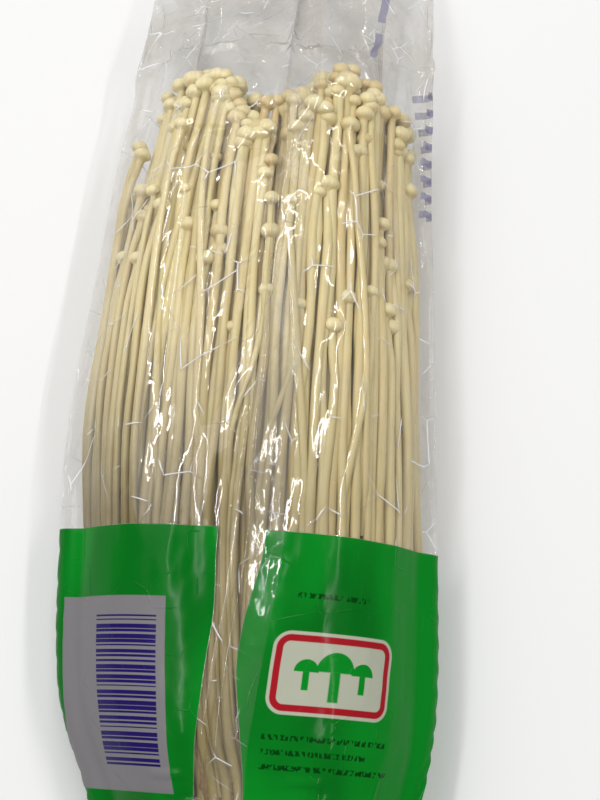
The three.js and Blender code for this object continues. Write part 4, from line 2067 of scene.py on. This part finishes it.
    @staticmethod
    def _lay_out(
        piece: bpy.types.Object,
        name: str,
        column: Array,
        row: Array,
        across: tuple[Array, Array],
        right_half: Array,
        along: Array,
    ) -> None:
        """Writes a UV map in metres.

        Args:
            piece: The pouch.
            name: The map's name.
            column: Each vertex's column.
            row: Each vertex's row.
            across: Distances round the web at each row and column, for the right half and for the left.
            right_half: Whether a column belongs to the right half.
            along: Place along Y at each row and column.
        """
        mesh = piece.data
        corner = np.empty(len(mesh.loops), int)
        mesh.loops.foreach_get("vertex_index", corner)
        face = np.repeat(np.arange(len(mesh.polygons)), 4)
        first = np.full(len(mesh.polygons), 10**6)
        np.minimum.at(first, face, column[corner])
        at = (row[corner], column[corner])
        place = np.where(right_half[first[face]], across[0][at], across[1][at])
        flat = np.stack([place, along[at]], 1) * MM
        layer = mesh.uv_layers.new(name=name)
        layer.data.foreach_set("uv", flat.astype(np.float32).ravel())


# ---- The studio ----


def direction(azimuth: float, elevation: float) -> Vector:
    """The way out from the pack at an azimuth and an elevation.

    Args:
        azimuth: The angle round the pack from its root end, in degrees.
        elevation: The angle over the floor, in degrees.

    Returns:
        The unit vector.
    """
    turn, rise = math.radians(azimuth), math.radians(elevation)
    return Vector((math.sin(turn) * math.cos(rise), -math.cos(turn) * math.cos(rise), math.sin(rise)))


@dataclass(frozen=True)
class Lamp:
    """A rectangular lamp that points at the pack."""

    name: str
    azimuth: float
    elevation: float
    distance: float
    size: tuple[float, float]
    power: float
    spin: float = 0.0

    def build(self, target: Vector) -> None:
        """Hangs the lamp.

        Args:
            target: What it points at.
        """
        out = direction(self.azimuth, self.elevation)
        light = bpy.data.lights.new(self.name, "AREA")
        light.shape, light.energy = "RECTANGLE", self.power
        light.size, light.size_y = self.size
        lamp = bpy.data.objects.new(self.name, light)
        bpy.context.scene.collection.objects.link(lamp)
        face = out.to_track_quat("Z", "Y").to_matrix().to_4x4()
        spin = Matrix.Rotation(math.radians(self.spin), 4, "Z")
        lamp.matrix_world = Matrix.Translation(target + out * self.distance) @ face @ spin


@dataclass(frozen=True)
class Studio:
    """A pale floor, soft light with a few narrow lamps that the film glints in, and the camera."""

    floor_size: float = 8.0
    target: tuple[float, float, float] = (0.0081, -0.0091, 0.015)
    azimuth: float = 4.4
    elevation: float = 78.0
    roll: float = -0.34
    distance: float = 0.420
    lens: float = 85.6
    lamps: tuple[Lamp, ...] = (
        Lamp("soft_key", -125.0, 50.0, 1.6, (1.5, 1.1), 10.0),
        Lamp("strip_back", 172.0, 62.0, 1.3, (0.022, 1.1), 3.4, 0.0),
        Lamp("strip_left", 262.0, 60.0, 1.2, (0.022, 1.0), 3.4, 86.0),
        Lamp("strip_right", 96.0, 56.0, 1.2, (0.022, 1.0), 3.4, 82.0),
    )
    ambient: float = 0.30
    air: Colour = (1.0, 0.99, 0.975)

    def build(self) -> None:
        """Lays the floor, lights the scene and sets the camera."""
        start_fresh()
        bpy.ops.mesh.primitive_plane_add(size=self.floor_size, location=(0.0, 0.0, 0.0))
        floor = bpy.context.object
        floor.name = "studio_floor"
        floor.data.materials.append(FloorFinish().material())
        world = bpy.data.worlds.new("studio_air")
        world.use_nodes = True
        background = world.node_tree.nodes["Background"]
        background.inputs["Color"].default_value = (*self.air, 1.0)
        background.inputs["Strength"].default_value = self.ambient
        bpy.context.scene.world = world
        for lamp in self.lamps:
            lamp.build(Vector(self.target))
        self._camera()
        scene = bpy.context.scene
        scene.view_settings.view_transform = "Standard"
        scene.cycles.transparent_max_bounces = 14
        scene.cycles.max_bounces = 4
        scene.cycles.diffuse_bounces = 2
        scene.cycles.glossy_bounces = 2

    def _camera(self) -> None:
        """Places the camera at its angle and turns it level but for a small roll."""
        roll = math.radians(self.roll)
        back = direction(self.azimuth, self.elevation)
        right = (-back).cross(Vector((0, 0, 1))).normalized()
        up = right.cross(-back)
        side = right * math.cos(roll) + up * math.sin(roll)
        top = up * math.cos(roll) - right * math.sin(roll)
        data = bpy.data.cameras.new("camera")
        data.lens = self.lens
        data.sensor_width = 36.0
        data.clip_start = 0.01
        camera = bpy.data.objects.new("camera", data)
        bpy.context.scene.collection.objects.link(camera)
        turned = Matrix((side, top, back)).transposed().to_4x4()
        camera.matrix_world = Matrix.Translation(Vector(self.target) + back * self.distance) @ turned
        bpy.context.scene.camera = camera


def obstacle(pieces: Sequence[bpy.types.Object]) -> BVHTree:
    """Gathers pieces into one search tree in millimetres.

    Args:
        pieces: The pieces that the film wraps.

    Returns:
        The tree.
    """
    points, faces, first = [], [], 0
    for piece in pieces:
        points.append(points_of(piece) / MM)
        faces += [[first + v for v in face.vertices] for face in piece.data.polygons]
        first += len(piece.data.vertices)
    return BVHTree.FromPolygons(np.concatenate(points).tolist(), faces)


def main() -> None:
    """Builds the pack and the studio."""
    logging.basicConfig(level=logging.INFO, format="%(name)s: %(message)s")
    form = PackForm()
    bunch = Bunch(form)
    full = MushroomShape(sides=12, stem_steps=22, cap_rings=FULL_CAP)
    plain = MushroomShape(sides=10, stem_steps=18, cap_rings=FULL_CAP)
    short = MushroomShape(sides=8, stem_steps=3, cap_rings=SIMPLE_CAP)
    mottle = mottle_group()
    flesh = FleshFinish().material(mottle)
    between = HiddenLayer(first=100, count=54, depth=2.3, fall=9.0, stray=0.004, offset=1.0)
    second = HiddenLayer(first=200, count=64, depth=3.7, fall=12.0, stray=0.006, offset=0.3)
    inner = HiddenLayer(first=300, count=56, depth=5.0, fall=16.0, stray=0.012, offset=0.7)
    # The deeper layers are browned more: painted shade in the gaps between stems.
    layers = (
        MushroomLayer("mushrooms_outer", full, list(bunch.outer())),
        MushroomLayer("mushrooms_between", plain, list(bunch.behind(between)), (0.1, 1.1)),
        MushroomLayer("mushrooms_second", plain, list(bunch.behind(second)), (0.6, 1.4)),
        MushroomLayer("mushrooms_inner", plain, list(bunch.behind(inner)), (0.9, 1.5)),
        MushroomLayer("mushrooms_crossing", plain, list(bunch.crossing())),
        MushroomLayer("mushrooms_loose", plain, list(bunch.loose())),
        MushroomLayer("mushrooms_crown", short, list(bunch.crown())),
    )
    pieces = [layer.build() for layer in layers]
    for piece in pieces:
        fit_out(piece, flesh, "mushroom_bunch")
    root = RootBlock(form).build()
    fit_out(root, RootFinish().material(mottle), "mushroom_bunch")
    pouch = Pouch(form).build(obstacle([*pieces, root]))
    fit_out(pouch, FilmFinish().material(crease_group()), "pouch_film")
    Studio().build()
    log.info("done")


if __name__ == "__main__":
    main()
